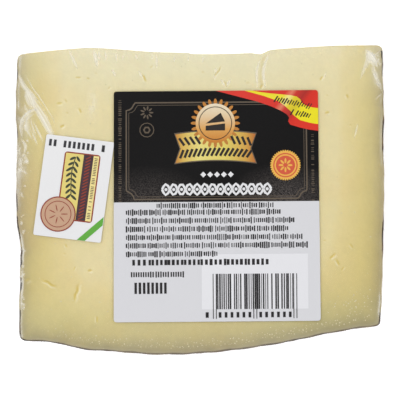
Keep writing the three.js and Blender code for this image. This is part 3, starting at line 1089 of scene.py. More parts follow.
def paste_dents(across, inward, share):
    """Depth of the eyes, slits and crack on both cut faces, and their darkness, which is partly painted
    shade in the hollows, below 0 on a pale lip that is a painted highlight.
    """
    rng = np.random.default_rng(5)
    ranges = ((-48, 48), (8, 84), (0.3, 1.6), (0.25, 0.42), (-90, 90), (0.15, 0.32))
    lower = [[rng.uniform(low, high) for low, high in ranges] for _ in range(34)]
    x, r = across / MM, -inward / MM
    depth, dark, pale = np.zeros((3, len(x)))
    for eyes, face, sign in ((EYES, share == 1.0, 1), (lower, share == 0.0, -1)):
        for x0, r0, half_length, half_width, angle, deep in eyes:
            along_x, along_r = math.cos(math.radians(angle)), -math.sin(math.radians(angle))
            along = (x - x0) * along_x + (r - r0) * along_r
            beside = ((x - x0) * along_r - (r - r0) * along_x + 0.12 * np.sin(along * 2.3)) * 1.25
            ends = np.exp(-(along / half_length) ** 4) * face
            bowl = np.exp(-(beside / half_width) ** 2) * ends
            lip = np.exp(-((beside + 2.1 * half_width) / half_width) ** 2) * ends
            depth += sign * 0.6 * deep * MM * (bowl - 0.3 * lip)
            # The darkness in each bowl is partly painted shade, and the pale lip beside it is a painted
            # highlight.
            strength = min(1, deep / 0.3)
            dark = np.maximum(dark, bowl * strength)
            pale = np.maximum(pale, lip * strength)
    crack = np.array(CRACK) * (1, -1)
    gap = distance_to(np.stack([x, -r], axis=1), crack)
    # The darkening along the crack is painted shade.
    groove = np.exp(-(gap / 0.45) ** 2) * smooth(r, 2.5, 5.5) * smooth(r, 17, 14) * (share == 1.0)
    return depth + groove * 0.2 * MM, np.maximum(dark, 0.3 * groove) - 0.5 * pale * (1 - dark)


def gathered_film(plan, share):
    """How gathered and how hazy the film is at each point. The haze includes one painted highlight."""
    x, r = plan[:, 0] / MM, -plan[:, 1] / MM
    upper = share > 0.5
    free = np.where(upper, 1 - in_label(plan[:, 0], plan[:, 1], 1.2 * MM), 1.0)
    gather = 0.03 + 0.07 * smooth(np.abs(x), 48, 55) + 0.05 * smooth(r, 84, 92)
    haze = 0.10 * smooth(r, 7.5, 3.5) * upper
    for x0, r0, half_x, half_r, crinkle, haze_and_highlight in GATHERS:
        for mirror, near in ((1, smooth(share, 0.86, 0.95)), (-1, smooth(share, 0.14, 0.05))):
            spot = np.exp(-((mirror * x - x0) / half_x) ** 2 - ((r - r0) / half_r) ** 2) * near
            gather = np.maximum(gather, crinkle * spot)
            haze = np.maximum(haze, haze_and_highlight * spot)
    return gather * free * smooth(share, 0.02, 0.15), haze * np.where(upper, free, 0.6)


def curl_lines(seed):
    """Fine curled creases strewn over the crinkled patches: widths and points."""
    rng = np.random.default_rng(seed)
    lines = []
    for low, high, count, longest in CURLS:
        for _ in range(count):
            place, bend = rng.uniform(low, high), rng.normal(0, 0.3)
            heading = rng.choice([-1, 1]) * math.pi / 2 + rng.normal(0, 0.8)
            line = [place]
            for _ in range(max(3, round(rng.uniform(0.4, 1) * longest / CURL_STEP))):
                heading += bend + rng.normal(0, 0.3)
                step = CURL_STEP * np.array([math.cos(heading), math.sin(heading)])
                place = np.clip(place + step, np.array(low) - 0.2, np.array(high) + 0.4)
                line.append(place)
            lines.append((rng.uniform(0.4, 1.1), line))
    return lines


# Drawings on the cut face


def board(points):
    """Points given from the front label's top left corner, right and down in millimetres."""
    right, down = np.array(points, float).T
    return np.stack([LABEL_LEFT + right * (1 + LABEL_SPREAD * down),
                     LABEL_SLOPE * right - LABEL_TOP - down], axis=1) * MM


def sticker_board(points):
    """Points given from the sticker's top left corner, right and down in millimetres."""
    x, y = (np.array(points, float) * (1, -1) + (-STICKER_SIZE[0] / 2, STICKER_SIZE[1] / 2)).T
    x = x + STICKER_SKEW * y
    cosine, sine = math.cos(STICKER_TURN), math.sin(STICKER_TURN)
    return np.stack([x * cosine - y * sine + STICKER_CENTRE[0],
                     x * sine + y * cosine - STICKER_CENTRE[1]], axis=1) * MM


def rounded(corners, radius):
    """A closed outline with round corners, clockwise from the top left."""
    corners = np.array(corners, float)
    made = []
    for k, corner in enumerate(corners):
        before, after = corners[k - 1] - corner, corners[(k + 1) % len(corners)] - corner
        before, after = before / np.linalg.norm(before), after / np.linalg.norm(after)
        t = np.linspace(0, 1, 6)[:, None]
        start, end = corner + before * radius, corner + after * radius
        made.append((1 - t) ** 2 * start + 2 * t * (1 - t) * corner + t ** 2 * end)
    return np.vstack(made)


def oval(centre, half_width, half_height, start=0.0, end=360.0, count=48):
    turn = np.radians(np.linspace(start, end, count + 1))
    across, down = centre[0] + half_width * np.cos(turn), centre[1] - half_height * np.sin(turn)
    points = np.stack([across, down], axis=1)
    return points[:-1] if end - start == 360 else points


def plate(name, loops, thickness, material, step=2.4 * MM, uv_box=None):
    """A thin closed sheet that fills board outlines, its back at height 0."""
    points, triangles = filled([dense(loop, step) for loop in loops], step)
    area = np.cross(points[triangles[:, 1]] - points[triangles[:, 0]],
                    points[triangles[:, 2]] - points[triangles[:, 0]])
    triangles[area < 0] = triangles[area < 0][:, ::-1]
    count = len(points)
    faces = triangles.tolist() + (triangles[:, ::-1] + count).tolist()
    edges = np.sort(np.vstack([triangles[:, [0, 1]], triangles[:, [1, 2]], triangles[:, [2, 0]]]), axis=1)
    edges, uses = np.unique(edges, axis=0, return_counts=True)
    rim = {tuple(edge) for edge in edges[uses == 1].tolist()}
    for a, b, c in triangles.tolist():
        for start, end in ((a, b), (b, c), (c, a)):
            if (min(start, end), max(start, end)) in rim:
                faces.append([end, start, start + count, end + count])
    both = np.vstack([points, points])
    low, high = (points.min(0), points.max(0)) if uv_box is None else uv_box
    thing = new_mesh(name, np.column_stack([both, np.repeat([thickness, 0.0], count)]), faces,
                     uv=(both - low) / (high - low))
    thing.data.materials.append(material)
    return thing


def path_mesh(name, lines, closed=False, step=1.0 * MM):
    """Paths on the board for a tree to follow. Each line is a width in metres and its points."""
    points, edges, widths = [], [], []
    for width, line in lines:
        line = resampled(line, step, closed=closed)
        start = len(points)
        points += [(x, y, 0.0) for x, y in line]
        edges += [(start + k, start + k + 1) for k in range(len(line) - 1)]
        if closed:
            edges.append((start + len(line) - 1, start))
        widths += [width] * len(line)
    mesh = bpy.data.meshes.new(name)
    mesh.from_pydata(points, edges, [])
    mesh.attributes.new("width", "FLOAT", "POINT").data.foreach_set("value", np.array(widths, np.float32))
    thing = bpy.data.objects.new(name, mesh)
    bpy.context.scene.collection.objects.link(thing)
    return thing


def joined(name, things):
    """Several meshes as one, under one name."""
    with bpy.context.temp_override(active_object=things[0], selected_editable_objects=things,
                                   selected_objects=things):
        bpy.ops.object.join()
    things[0].name = name
    things[0].data.name = name
    return things[0]


# Front label, right and down from its top left corner in millimetres

DARK_BOTTOM = 33.25
# The corner ribbon's lower edge, and the edges of the yellow stripe in it. The ribbon's colours run
# from RIBBON_START to the label's right side.
RIBBON_START = 30.0
RIBBON_LOW = [
    (30.6, 0.0), (33.6, 0.8), (38.1, 2.0), (42.9, 3.3), (46.9, 4.7), (50.1, 6.15), (51.7, 7.15),
    (52.5, 8.2), (52.2, 9.35), (52.9, 10.35), (55.7, 11.2), (58.2, 11.8), (61.2, 12.25),
]
RIBBON_MIDDLE = [
    (39.1, 0.0), (42.1, 0.85), (44.9, 1.65), (47.3, 2.5), (49.7, 3.5), (51.3, 4.75), (53.1, 6.4),
    (53.7, 7.4), (55.7, 9.0), (58.6, 9.8), (61.2, 10.25),
]
RIBBON_HIGH = [
    (41.5, 0.0), (43.7, 0.45), (46.9, 0.9), (50.1, 1.2), (53.3, 1.55), (54.9, 1.95), (55.9, 2.75),
    (56.3, 3.75), (57.4, 4.6), (59.4, 5.2), (61.2, 5.45),
]
# The frame line's left, top, right and bottom, and the radius of its hollow corners.
FRAME = (3.75, 3.45, 57.6, 32.4)
FRAME_CORNER = 2.3
# Where the dark field is paler, in shares of its width and height: centre, half sizes, strength.
DARK_GLOWS = (((0.17, 0.02), (0.3, 0.31), 0.85), ((0.84, 0.05), (0.28, 0.31), 1.25))
# Rows of small print: from, to, how far down the row's middle lies.
PRINT_ROWS = [
    (12.9, 48.7, 34.35), (3.8, 49.4, 36.35), (3.8, 53.5, 38.85), (3.8, 52.1, 41.35), (3.8, 57.0, 43.85),
    (3.8, 57.4, 46.3), (3.8, 30.6, 48.85),
]
# The gold medallion's centre and radius, and its banner's centre, half width, half height, bow
# and the depth of its notched ends.
MEDALLION = (30.4, 9.7)
MEDALLION_RADIUS = 5.9
BANNER = (30.4, 17.3, 12.0, 4.3, 0.9, 1.6)
SEAL = (51.25, 22.45)
# The white box's left, top, right and bottom.
WHITE_BOX = (26.1, 49.0, 57.6, 65.5)
# The braid's left and right, and its number of turns.
BRAID = (14.4, 46.9, 7)
# The bars' left, right, top and bottom, and how far down the long ones go.
BARS = (29.45, 54.2, 54.9, 65.5, 68.35)


def rectangle(left, top, right, bottom):
    """The corners of a rectangle, clockwise from the top left."""
    return [(left, top), (right, top), (right, bottom), (left, bottom)]


LABEL_OUTLINE = rounded(rectangle(0, 0, LABEL_WIDTH, LABEL_HEIGHT), 0.9)


def notched(left, top, right, bottom, radius):
    """A rectangle with hollow round corners, clockwise from the top left."""
    corners = ((left, top, 270), (right, top, 180), (right, bottom, 90), (left, bottom, 0))
    return np.vstack([oval((x, y), radius, radius, turn, turn + 90, 8) for x, y, turn in corners])


def words(rows, seed, longest=7.0, gap=0.9):
    """Rows of print as runs of random length with spaces between them."""
    rng = np.random.default_rng(seed)
    made = []
    for start, end, down in rows:
        while start < end - 1.2:
            stop = min(end, start + rng.uniform(2.2, longest))
            made.append((MM, board([(start, down), (stop, down)])))
            start = stop + gap
    return made


def finish_print(name, things):
    """Joins printed fields and marks into one flat-shaded piece."""
    finish_piece(joined(name, things), shade_smooth=False)


def settings(context):
    scene = context.scene
    return scene.cheese_body, scene.cheese_film, scene.cheese_labels, scene.cheese_stage


def label_lift(labels, layer):
    """How high a printed layer lies: layer 0 is the sheet's own face."""
    return labels.sheet_lift + layer * labels.ink_thickness


def printed(labels, name, loops, colour, layer, step=2.2 * MM, uv_box=None):
    """One printed field, laid on the cut face."""
    thing = plate(name, loops, labels.ink_thickness * 1.6, colour, step, uv_box)
    return lay_on_face(thing, label_lift(labels, layer))


def marks(labels, name, lines, colour, layer, **values):
    """Rows of printed marks, laid on the cut face."""
    thing = grown(path_mesh(name, lines), bpy.data.node_groups["Mark rows"], material=colour,
                  thickness=labels.ink_thickness, **values)
    return lay_on_face(thing, label_lift(labels, layer) + labels.ink_thickness * 0.8)


def lines_on(labels, name, lines, colour, layer, closed=False):
    """Printed lines, laid on the cut face."""
    thing = grown(path_mesh(name, lines, closed), bpy.data.node_groups["Strips"], material=colour,
                  height=0.06)
    return lay_on_face(thing, label_lift(labels, layer) + labels.ink_thickness * 0.8)


def flower(labels, name, centre, colour, layer, place=board, **values):
    """Petals round a point of a label, laid on the cut face."""
    thing = grown(new_mesh(name, [(0.0, 0.0, 0.0)], []), bpy.data.node_groups["Petals"], material=colour,
                  thickness=labels.ink_thickness * 1.2, **values)
    x, y = place([centre])[0]
    thing.data.transform(Matrix.Translation((x, y, 0)))
    return lay_on_face(thing, label_lift(labels, layer) + labels.ink_thickness * 0.6)


class CHEESE_OT_wedge(bpy.types.Operator):
    """Makes the wedge of cheese with its eyes and its pressed rind"""
    bl_idname = "cheese.wedge"
    bl_label = "Cheese wedge"

    def execute(self, context):
        body = settings(context)[0]
        steps = (body.cap_step, body.under_step, body.rind_step)
        wedge = wedge_mesh("cheese_wedge", steps, CHEESE_ROWS, paste_dents)[0]
        grown(wedge, press_relief_tree(), rim_depth=body.rim_depth, strand_pitch=body.strand_pitch,
              zigzag=body.zigzag, side_depth=body.side_depth, groove_pitch=body.groove_pitch,
              inset=body.film_gap, cut_material=paste_material(), rind_material=rind_material())
        finish_piece(wedge, "wrapped_wedge")
        return {"FINISHED"}


class CHEESE_OT_crystals(bpy.types.Operator):
    """Strews pale salt crystals over the cut face, thickest along the rim and low down at the right"""
    bl_idname = "cheese.crystals"
    bl_label = "Crystals"

    def execute(self, context):
        body, film = settings(context)[:2]
        lines, step = edge_lines(), 1.5 * MM
        loop = drawn_in(resampled(np.vstack([line[:-1] for line in lines]), step), 2.1)
        points, triangles = filled([loop], step)
        x, r = points[:, 0] / MM, -points[:, 1] / MM
        rim_gap = distance_to(points, lines[2]) / MM
        along_rim = np.exp(-((rim_gap - 2.6) / 1.3) ** 2) * smooth(np.abs(x), 47, 41)
        low_right = np.exp(-((x - 46) / 7) ** 2 - ((r - 81.5) / 4.5) ** 2)
        thick = along_rim + 0.5 * low_right + 0.012
        thick *= 1 - in_label(points[:, 0], points[:, 1], 1.5 * MM)
        flat = new_mesh("cheese_crystals", np.column_stack([points, 0 * x]), triangles, speck=thick)
        lay_on_face(flat, -body.film_gap)
        pale = print_material("Salt crystals", linear(212, 203, 164), 0.03, 0.5, 0.2)
        grown(flat, speck_tree(), density=1500000.0, size=0.17 * MM, seed=film.seed, material=pale)
        finish_piece(flat)
        return {"FINISHED"}


class CHEESE_OT_film(bpy.types.Operator):
    """Makes the tight clear film, with the wrinkles and pleats where it is gathered"""
    bl_idname = "cheese.film"
    bl_label = "Clear film"

    def execute(self, context):
        body, film = settings(context)[:2]
        clear = film_material(film.haze)
        skin, plan, share = wedge_mesh("film_skin", [step * MM for step in FILM_STEPS], FILM_ROWS)
        for name, values in zip(("gather", "haze"), gathered_film(plan, share)):
            skin.data.attributes.new(name, "FLOAT", "POINT").data.foreach_set(
                "value", values.astype(np.float32))
        grown(skin, bpy.data.node_groups["Press relief"], rim_depth=body.rim_depth,
              strand_pitch=body.strand_pitch, zigzag=body.zigzag, side_depth=body.side_depth,
              groove_pitch=body.groove_pitch, cut_material=clear, rind_material=clear)
        surface = BVHTree.FromPolygons([v.co[:] for v in skin.data.vertices],
                                       [p.vertices[:] for p in skin.data.polygons])
        grown(skin, wrinkle_tree(), height=film.wrinkle_height, size=film.wrinkle_size, seed=film.seed,
              material=clear)
        paths = [(width * MM, spline(line, 6) * (MM, -MM))
                 for width, line in PLEATS + curl_lines(film.seed)]
        pleats = grown(path_mesh("film_pleats", paths, step=0.4 * MM), pleat_tree(),
                       height=film.pleat_height, wander=0.4 * MM, seed=film.seed, material=pleat_material())

        # The pleats are dropped from above onto the film, before it is wrinkled.
        flat, above = coordinates(pleats), 4 * MM
        placed = on_wheel(flat[:, 0], flat[:, 1], WEDGE_ANGLE, 0)
        for k, spot in enumerate(placed):
            hit = surface.ray_cast(Vector(spot + FACE_OUT * above), Vector(-FACE_OUT), 2 * above)[0]
            placed[k] = np.array(hit or spot) + FACE_OUT * flat[k, 2]
        pleats.data.vertices.foreach_set("co", placed.astype(np.float32).ravel())
        for piece, node in ((skin, "wrapped_wedge"), (pleats, None)):
            piece.visible_shadow = piece.visible_diffuse = False
            finish_piece(piece, node)
        return {"FINISHED"}


class CHEESE_OT_front_sheet(bpy.types.Operator):
    """Makes the front label's sheet with its dark and white fields"""
    bl_idname = "cheese.front_sheet"
    bl_label = "Front label"

    def execute(self, context):
        labels = settings(context)[2]
        paper = print_material("Label paper", labels.pale_colour, 0.012, 0.45, 0.2)
        sheet = plate("front_label_sheet", [board(LABEL_OUTLINE)], labels.sheet_thickness, paper)
        lay_on_face(sheet, labels.sheet_lift - labels.sheet_thickness)
        finish_piece(sheet, "front_label", shade_smooth=False)
        dark = np.vstack([[(0, DARK_BOTTOM)], LABEL_OUTLINE[:12], [(LABEL_WIDTH, DARK_BOTTOM)]])
        field = printed(labels, "front_label_dark_field", [board(dark)],
                        dark_field_material(labels.dark_colour), 0,
                        uv_box=board([(0, DARK_BOTTOM), (LABEL_WIDTH, 0)]))
        finish_piece(field, shade_smooth=False)
        white = print_material("White print", linear(229, 229, 233), 0.01, 0.42, 0.2)
        box = printed(labels, "front_label_white_box", [board(rectangle(*WHITE_BOX))], white, 0)
        finish_piece(box, shade_smooth=False)
        return {"FINISHED"}


class CHEESE_OT_front_colours(bpy.types.Operator):
    """Prints the front label's ribbon, gold medallion with its banner, and rosettes"""
    bl_idname = "cheese.front_colours"
    bl_label = "Front label colours"

    def execute(self, context):
        labels = settings(context)[2]
        for make_tree in (strip_tree, mark_row_tree, petal_tree):
            make_tree()
        span = board([(RIBBON_START, 12.5), (LABEL_WIDTH, 0)])

        def ribbon_ink(name, *stops):
            """Ink whose colour changes from left to right, along lines that lean. Each stop is a place
            in millimetres along the label's top and its red, green and blue."""
            lean, run = 0.3, LABEL_WIDTH - RIBBON_START
            return print_material(name, None, 0.03, stops=[
                ((place - RIBBON_START) / run - lean, linear(*colour)) for place, *colour in stops],
                along=(1, -lean, 0))

        red = ribbon_ink("Ribbon red", (39.5, 218, 54, 42), (52.0, 214, 48, 36), (53.9, 222, 124, 96),
                         (55.3, 202, 48, 38), (58.0, 170, 38, 30), (60.0, 212, 42, 26), (63.0, 218, 48, 30))
        yellow = ribbon_ink("Ribbon yellow", (42.0, 234, 221, 36), (52.2, 234, 219, 50),
                            (54.0, 238, 228, 140), (55.8, 224, 202, 40), (58.0, 210, 192, 34),
                            (60.5, 235, 222, 26))
        corner = LABEL_OUTLINE[6:12][::-1].tolist()
        dark = print_material("Ribbon marks", linear(38, 26, 24), 0.05)
        rows = [[(48.6, 2.6), (51.6, 3.3), (55.0, 4.0), (58.8, 4.9)],
                [(53.4, 6.6), (56.0, 7.1), (58.6, 7.7)]]
        finish_print("front_label_ribbon", [
            printed(labels, "band", [board(RIBBON_LOW + corner)], red, 3, 1.6 * MM, span),
            printed(labels, "stripe", [board(RIBBON_MIDDLE + RIBBON_HIGH[::-1])], yellow, 4, 1.4 * MM,
                    span),
            marks(labels, "strokes", [(MM, board(spline(row))) for row in rows], dark, 5,
                  pitch=0.74 * MM, mark_width=0.36, mark_height=1.15, width_spread=0.3, height_spread=1.1,
                  gap_share=0.08, tilt=-0.35, side_step=0.15, seed=3)])

        dull = print_material("Dull gold print", linear(96, 84, 70), 0.12, 0.4, 0.3)
        gold = print_material("Gold print", None, 0.05, 0.35, 0.4, [
            (0.0, linear(190, 126, 56)), (0.1, linear(216, 180, 90)), (0.3, linear(230, 216, 128)),
            (0.62, linear(222, 204, 104)), (0.88, linear(208, 160, 74)), (1.0, linear(180, 102, 50))])
        disc = print_material("Medallion print", None, 0.05, 0.35, 0.4, [
            (0.0, linear(200, 124, 44)), (0.35, linear(218, 162, 88)), (0.75, linear(228, 206, 170)),
            (1.0, linear(234, 220, 194))], along=(0, 1, 0))
        brown = print_material("Banner marks", linear(36, 30, 26), 0.08)
        left, top, right, bottom = FRAME
        mx, my = MEDALLION
        x, y, half_width, half_height, bow, notch = BANNER

        def banner(extra):
            t = np.linspace(-1, 1, 25)
            run, rise = x + t * (half_width + extra), y - bow * (1 - t * t)
            upper = np.stack([run, rise - half_height - extra], axis=1)
            lower = np.stack([run, rise + half_height + extra], axis=1)[::-1]
            return board(np.vstack([upper, [(x + half_width - notch + extra, y)],
                                    lower, [(x - half_width + notch - extra, y)]]))

        def banner_row(start, end, down):
            t = np.linspace(start, end, 9)
            return MM, board(np.stack([x + t * half_width, y + down - bow * (1 - t * t)], axis=1))

        lines = [(width * MM, board(notched(left + in_by, top + in_by, right - in_by, bottom - in_by,
                                            FRAME_CORNER))) for width, in_by in ((0.42, 0), (0.16, 0.75))]
        rings = [(width * MM, board(oval((9.9, 11.6), radius, radius)))
                 for width, radius in ((0.26, 2.1), (0.5, 0.9))]
        strokes = {"pitch": 1.3 * MM, "mark_width": 0.75, "mark_height": 2.7}
        finish_print("front_label_gold", [
            lines_on(labels, "frame", lines, dull, 1, closed=True),
            lines_on(labels, "rings", rings, dull, 1, closed=True),
            flower(labels, "small_flower", (9.9, 6.4), dull, 1, count=9, ring_radius=1.35 * MM,
                   petal_length=1.3 * MM, petal_width=0.5 * MM),
            marks(labels, "margins", [(MM, board([(1.85, 33.0), (1.85, 2.7)])),
                                      (MM, board([(59.4, 13.4), (59.4, 33.0)]))],
                  dull, 1, pitch=0.55 * MM, mark_width=0.22, mark_height=0.75, width_spread=0.5,
                  height_spread=0.5, gap_share=0.16, side_step=0.1, seed=8),
            printed(labels, "banner_edge", [banner(0.35)], dull, 1),
            printed(labels, "banner", [banner(0.0)], gold, 3, 1.5 * MM),
            marks(labels, "strokes", [banner_row(-0.84, -0.44, -1.8), banner_row(0.44, 0.84, -1.8)],
                  brown, 5, tilt=0.5, **strokes),
            marks(labels, "strokes_back", [banner_row(-0.84, 0.84, 1.9)], brown, 5, tilt=-0.5, **strokes),
            flower(labels, "rays", MEDALLION, gold, 5, count=24, ring_radius=(MEDALLION_RADIUS + 0.4) * MM,
                   petal_length=2.2 * MM, petal_width=0.95 * MM),
            printed(labels, "medallion", [board(oval(MEDALLION, MEDALLION_RADIUS, MEDALLION_RADIUS))],
                    disc, 7, 1.2 * MM),
            lines_on(labels, "medallion_ring", [(0.22 * MM, board(oval(MEDALLION, 4.9, 4.9)))], brown, 9,
                     closed=True),
            printed(labels, "cut_side", [board([(mx - 2.9, my + 0.8), (mx + 2.9, my + 0.1),
                                                (mx + 2.9, my + 2.2), (mx - 2.9, my + 2.2)])],
                    brown, 9, MM),
            printed(labels, "cut_top", [board([(mx - 2.9, my + 0.1), (mx + 1.6, my - 3.1),
                                               (mx + 2.9, my - 0.5)])], brown, 9, MM)])

        lobes = print_material("Seal gold print", linear(234, 180, 80), 0.05)
        middle = print_material("Seal red print", linear(210, 88, 60), 0.05)
        finish_print("front_label_seal", [
            flower(labels, "lobes", SEAL, lobes, 1, count=40, ring_radius=4.05 * MM,
                   petal_length=1.1 * MM, petal_width=0.6 * MM),
            printed(labels, "seal_disc", [board(oval(SEAL, 4.2, 4.2))], lobes, 2, 1.2 * MM),
            lines_on(labels, "seal_ring", [(0.35 * MM, board(oval(SEAL, 3.5, 3.5)))], middle, 4,
                     closed=True),
            printed(labels, "seal_middle", [board(oval(SEAL, 2.85, 2.85))], middle, 4, 1.2 * MM),
            flower(labels, "seal_petals", SEAL, lobes, 6, count=8, ring_radius=1.35 * MM,
                   petal_length=1.5 * MM, petal_width=0.62 * MM)])
        return {"FINISHED"}


class CHEESE_OT_front_marks(bpy.types.Operator):
    """Prints the front label's ornament bands, rows of small marks and bars"""
    bl_idname = "cheese.front_marks"
    bl_label = "Front label marks"

    def execute(self, context):
        labels = settings(context)[2]
        white = print_material("White ornament print", linear(226, 226, 228), 0.03)
        black = print_material("Black print", linear(34, 32, 34), 0.10, 0.4, 0.2)
        grey = print_material("Grey print", linear(70, 68, 72), 0.15, 0.4, 0.2)
        left, right, turns = BRAID
        across = np.linspace(left, right, 161)
        wave = 1.65 * np.sin((across - left) * turns * math.tau / (right - left))
        eye = (right - left) / (2 * turns)
        finish_print("front_label_ornament", [
            marks(labels, "lozenges", [(MM, board([(26.7, 25.1), (34.9, 25.1)]))], white, 2,
                  pitch=2.04 * MM, mark_width=1.25, mark_height=1.25, tilt=math.pi / 4),
            lines_on(labels, "braid", [(0.72 * MM, board(np.stack([across, 29.5 + side * wave], axis=1)))
                                       for side in (-1, 1)], white, 2),
            marks(labels, "braid_dots", [(MM, board([(left + eye / 2, 29.5), (right - eye / 2, 29.5)]))],
                  white, 2, pitch=eye * 0.999 * MM, mark_width=0.95, mark_height=0.95, round=True)])

        def row(start, end, down):
            return MM, board([(start, down), (end, down)])

        left, right, top, bottom, guard = BARS
        middle = (top + bottom) / 2
        guards = [row(x, x + 0.9, (top + guard) / 2) for x in (left, (left + right) / 2 - 0.4, right - 0.9)]
        finish_print("front_label_marks", [
            marks(labels, "small_marks", words(PRINT_ROWS, 4), black, 1, pitch=0.58 * MM, mark_width=0.36,
                  mark_height=1.15, width_spread=0.35, height_spread=0.75, side_step=0.1, seed=4),
            marks(labels, "bold_marks", words([(5.9, 47.1, 51.35)], 6), black, 2, pitch=1.25 * MM,
                  mark_width=0.8, mark_height=1.55, width_spread=0.15, height_spread=0.3, seed=6),
            marks(labels, "weight_small", words([(5.3, 20.6, 54.95)], 9), black, 1, pitch=0.68 * MM,
                  mark_width=0.42, mark_height=1.45, height_spread=0.3, seed=8),
            marks(labels, "weight_large", [row(6.5, 15.3, 59.05)], black, 1, pitch=1.25 * MM,
                  mark_width=0.75, mark_height=3.3, height_spread=0.06, seed=9),
            marks(labels, "bars", [row(left + 1.4, right - 1.2, middle)], black, 2, pitch=0.62 * MM,
                  mark_width=0.34, mark_height=bottom - top, width_spread=0.62, gap_share=0.24,
                  block_cuts=8, seed=11),
            marks(labels, "bars_grey", [row(left + 1.1, right - 1.0, middle)], grey, 2, pitch=1.7 * MM,
                  mark_width=0.28, mark_height=bottom - top, width_spread=0.4, gap_share=0.3,
                  block_cuts=8, seed=12),
            marks(labels, "guards", guards, black, 2, pitch=0.55 * MM, mark_width=0.24,
                  mark_height=guard - top, block_cuts=10, seed=13),
            marks(labels, "counters", [row(left + 2.0, left + 10.8, 67.2),
                                       row(left + 14.0, right - 2.0, 67.2), row(27.6, 27.7, 67.2)],
                  black, 2, pitch=1.72 * MM, mark_width=0.8, mark_height=1.65, seed=14)])
        return {"FINISHED"}


class CHEESE_OT_sticker(bpy.types.Operator):
    """Makes the small sticker and its print"""
    bl_idname = "cheese.sticker"
    bl_label = "Small sticker"

    def execute(self, context):
        labels = settings(context)[2]
        width, height = STICKER_SIZE
        paper = print_material("Sticker paper", linear(232, 232, 233), 0.012, 0.45, 0.2)
        sheet = plate("small_label_sheet", [sticker_board(rounded(rectangle(0, 0, width, height), 0.6))],
                      labels.sheet_thickness, paper)
        lay_on_face(sheet, labels.sheet_lift - labels.sheet_thickness)
        finish_piece(sheet, "small_label", shade_smooth=False)

        def ink(name, red, green, blue, grain=0.06):
            return print_material("Sticker " + name, linear(red, green, blue), grain)

        def field(name, corners, colour, layer, step=1.5 * MM):
            return printed(labels, name, [sticker_board(corners)], colour, layer, step)

        def column(name, right, start, end, colour, **values):
            line = sticker_board([(right, start), (right, end)])
            return marks(labels, name, [(MM, line)], colour, 5, **values)

        brown, plum = ink("red brown", 146, 60, 42), ink("plum", 68, 46, 54, 0.1)
        leaf, black = ink("leaf", 60, 66, 47, 0.08), ink("black", 44, 44, 48, 0.08)
        yellow, pale = ink("yellow", 226, 208, 120), ink("pale yellow", 238, 221, 148)
        tan, green = ink("tan", 198, 160, 132), ink("green", 96, 170, 62)
        stem = spline([(9.6, 5.8), (9.0, 10.5), (9.7, 17.4)])
        wheel = (6.6, 23.4)
        prints = [
            field("panel", rounded(rectangle(6.2, 4.4, 17.0, 24.9), 1.0), brown, 1),
            lines_on(labels, "stem", [(0.3 * MM, sticker_board(stem))], leaf, 5),
            column("plum_strokes", 13.45, 5.6, 23.8, brown, pitch=0.95 * MM, mark_width=0.36,
                   mark_height=1.7, tilt=0.6),
            column("pale_ticks", 15.75, 5.6, 23.6, plum, pitch=0.5 * MM, mark_width=0.2, mark_height=0.8,
                   height_spread=0.3, gap_share=0.2, seed=3),
            field("disc_edge", oval(wheel, 5.3, 5.3), brown, 5),
            field("disc", oval(wheel, 4.95, 4.95), tan, 7),
            lines_on(labels, "disc_ring", [(0.22 * MM, sticker_board(oval(wheel, 3.9, 3.9)))], brown, 9,
                     closed=True),
            flower(labels, "disc_petals", wheel, brown, 9, sticker_board, count=7, ring_radius=1.9 * MM,
                   petal_length=2.1 * MM, petal_width=0.3 * MM),
            field("green_band", [(13.2, 30.4), (15.6, 30.4), (20.3, 25.2), (20.3, 22.6)], green, 1),
        ]
        for side in (-1, 1):
            prints.append(marks(labels, "leaves", [(MM, sticker_board(stem + (side * 0.85, 0.5)))], leaf, 5,
                                pitch=1.55 * MM, mark_width=0.75, mark_height=1.9, tilt=-0.75 * side,
                                round=True, height_spread=0.3, seed=4))
        for start, end, colour in ((6.6, 11.98, yellow), (12.02, 14.88, plum), (14.92, 16.6, pale)):
            prints.append(field("panel_stripe", rectangle(start, 4.8, end, 24.5), colour, 3))
        finish_print("small_label_print", prints)
        rows = [(MM, sticker_board([(start, 2.3), (end, 2.3)]))
                for start, end in ((1.5, 2.9), (5.9, 14.3), (17.4, 17.5))]
        number = marks(labels, "small_label_marks", rows, black, 1, pitch=1.29 * MM, mark_width=0.8,
                       mark_height=2.0, seed=5)
        finish_piece(number, shade_smooth=False)
        return {"FINISHED"}


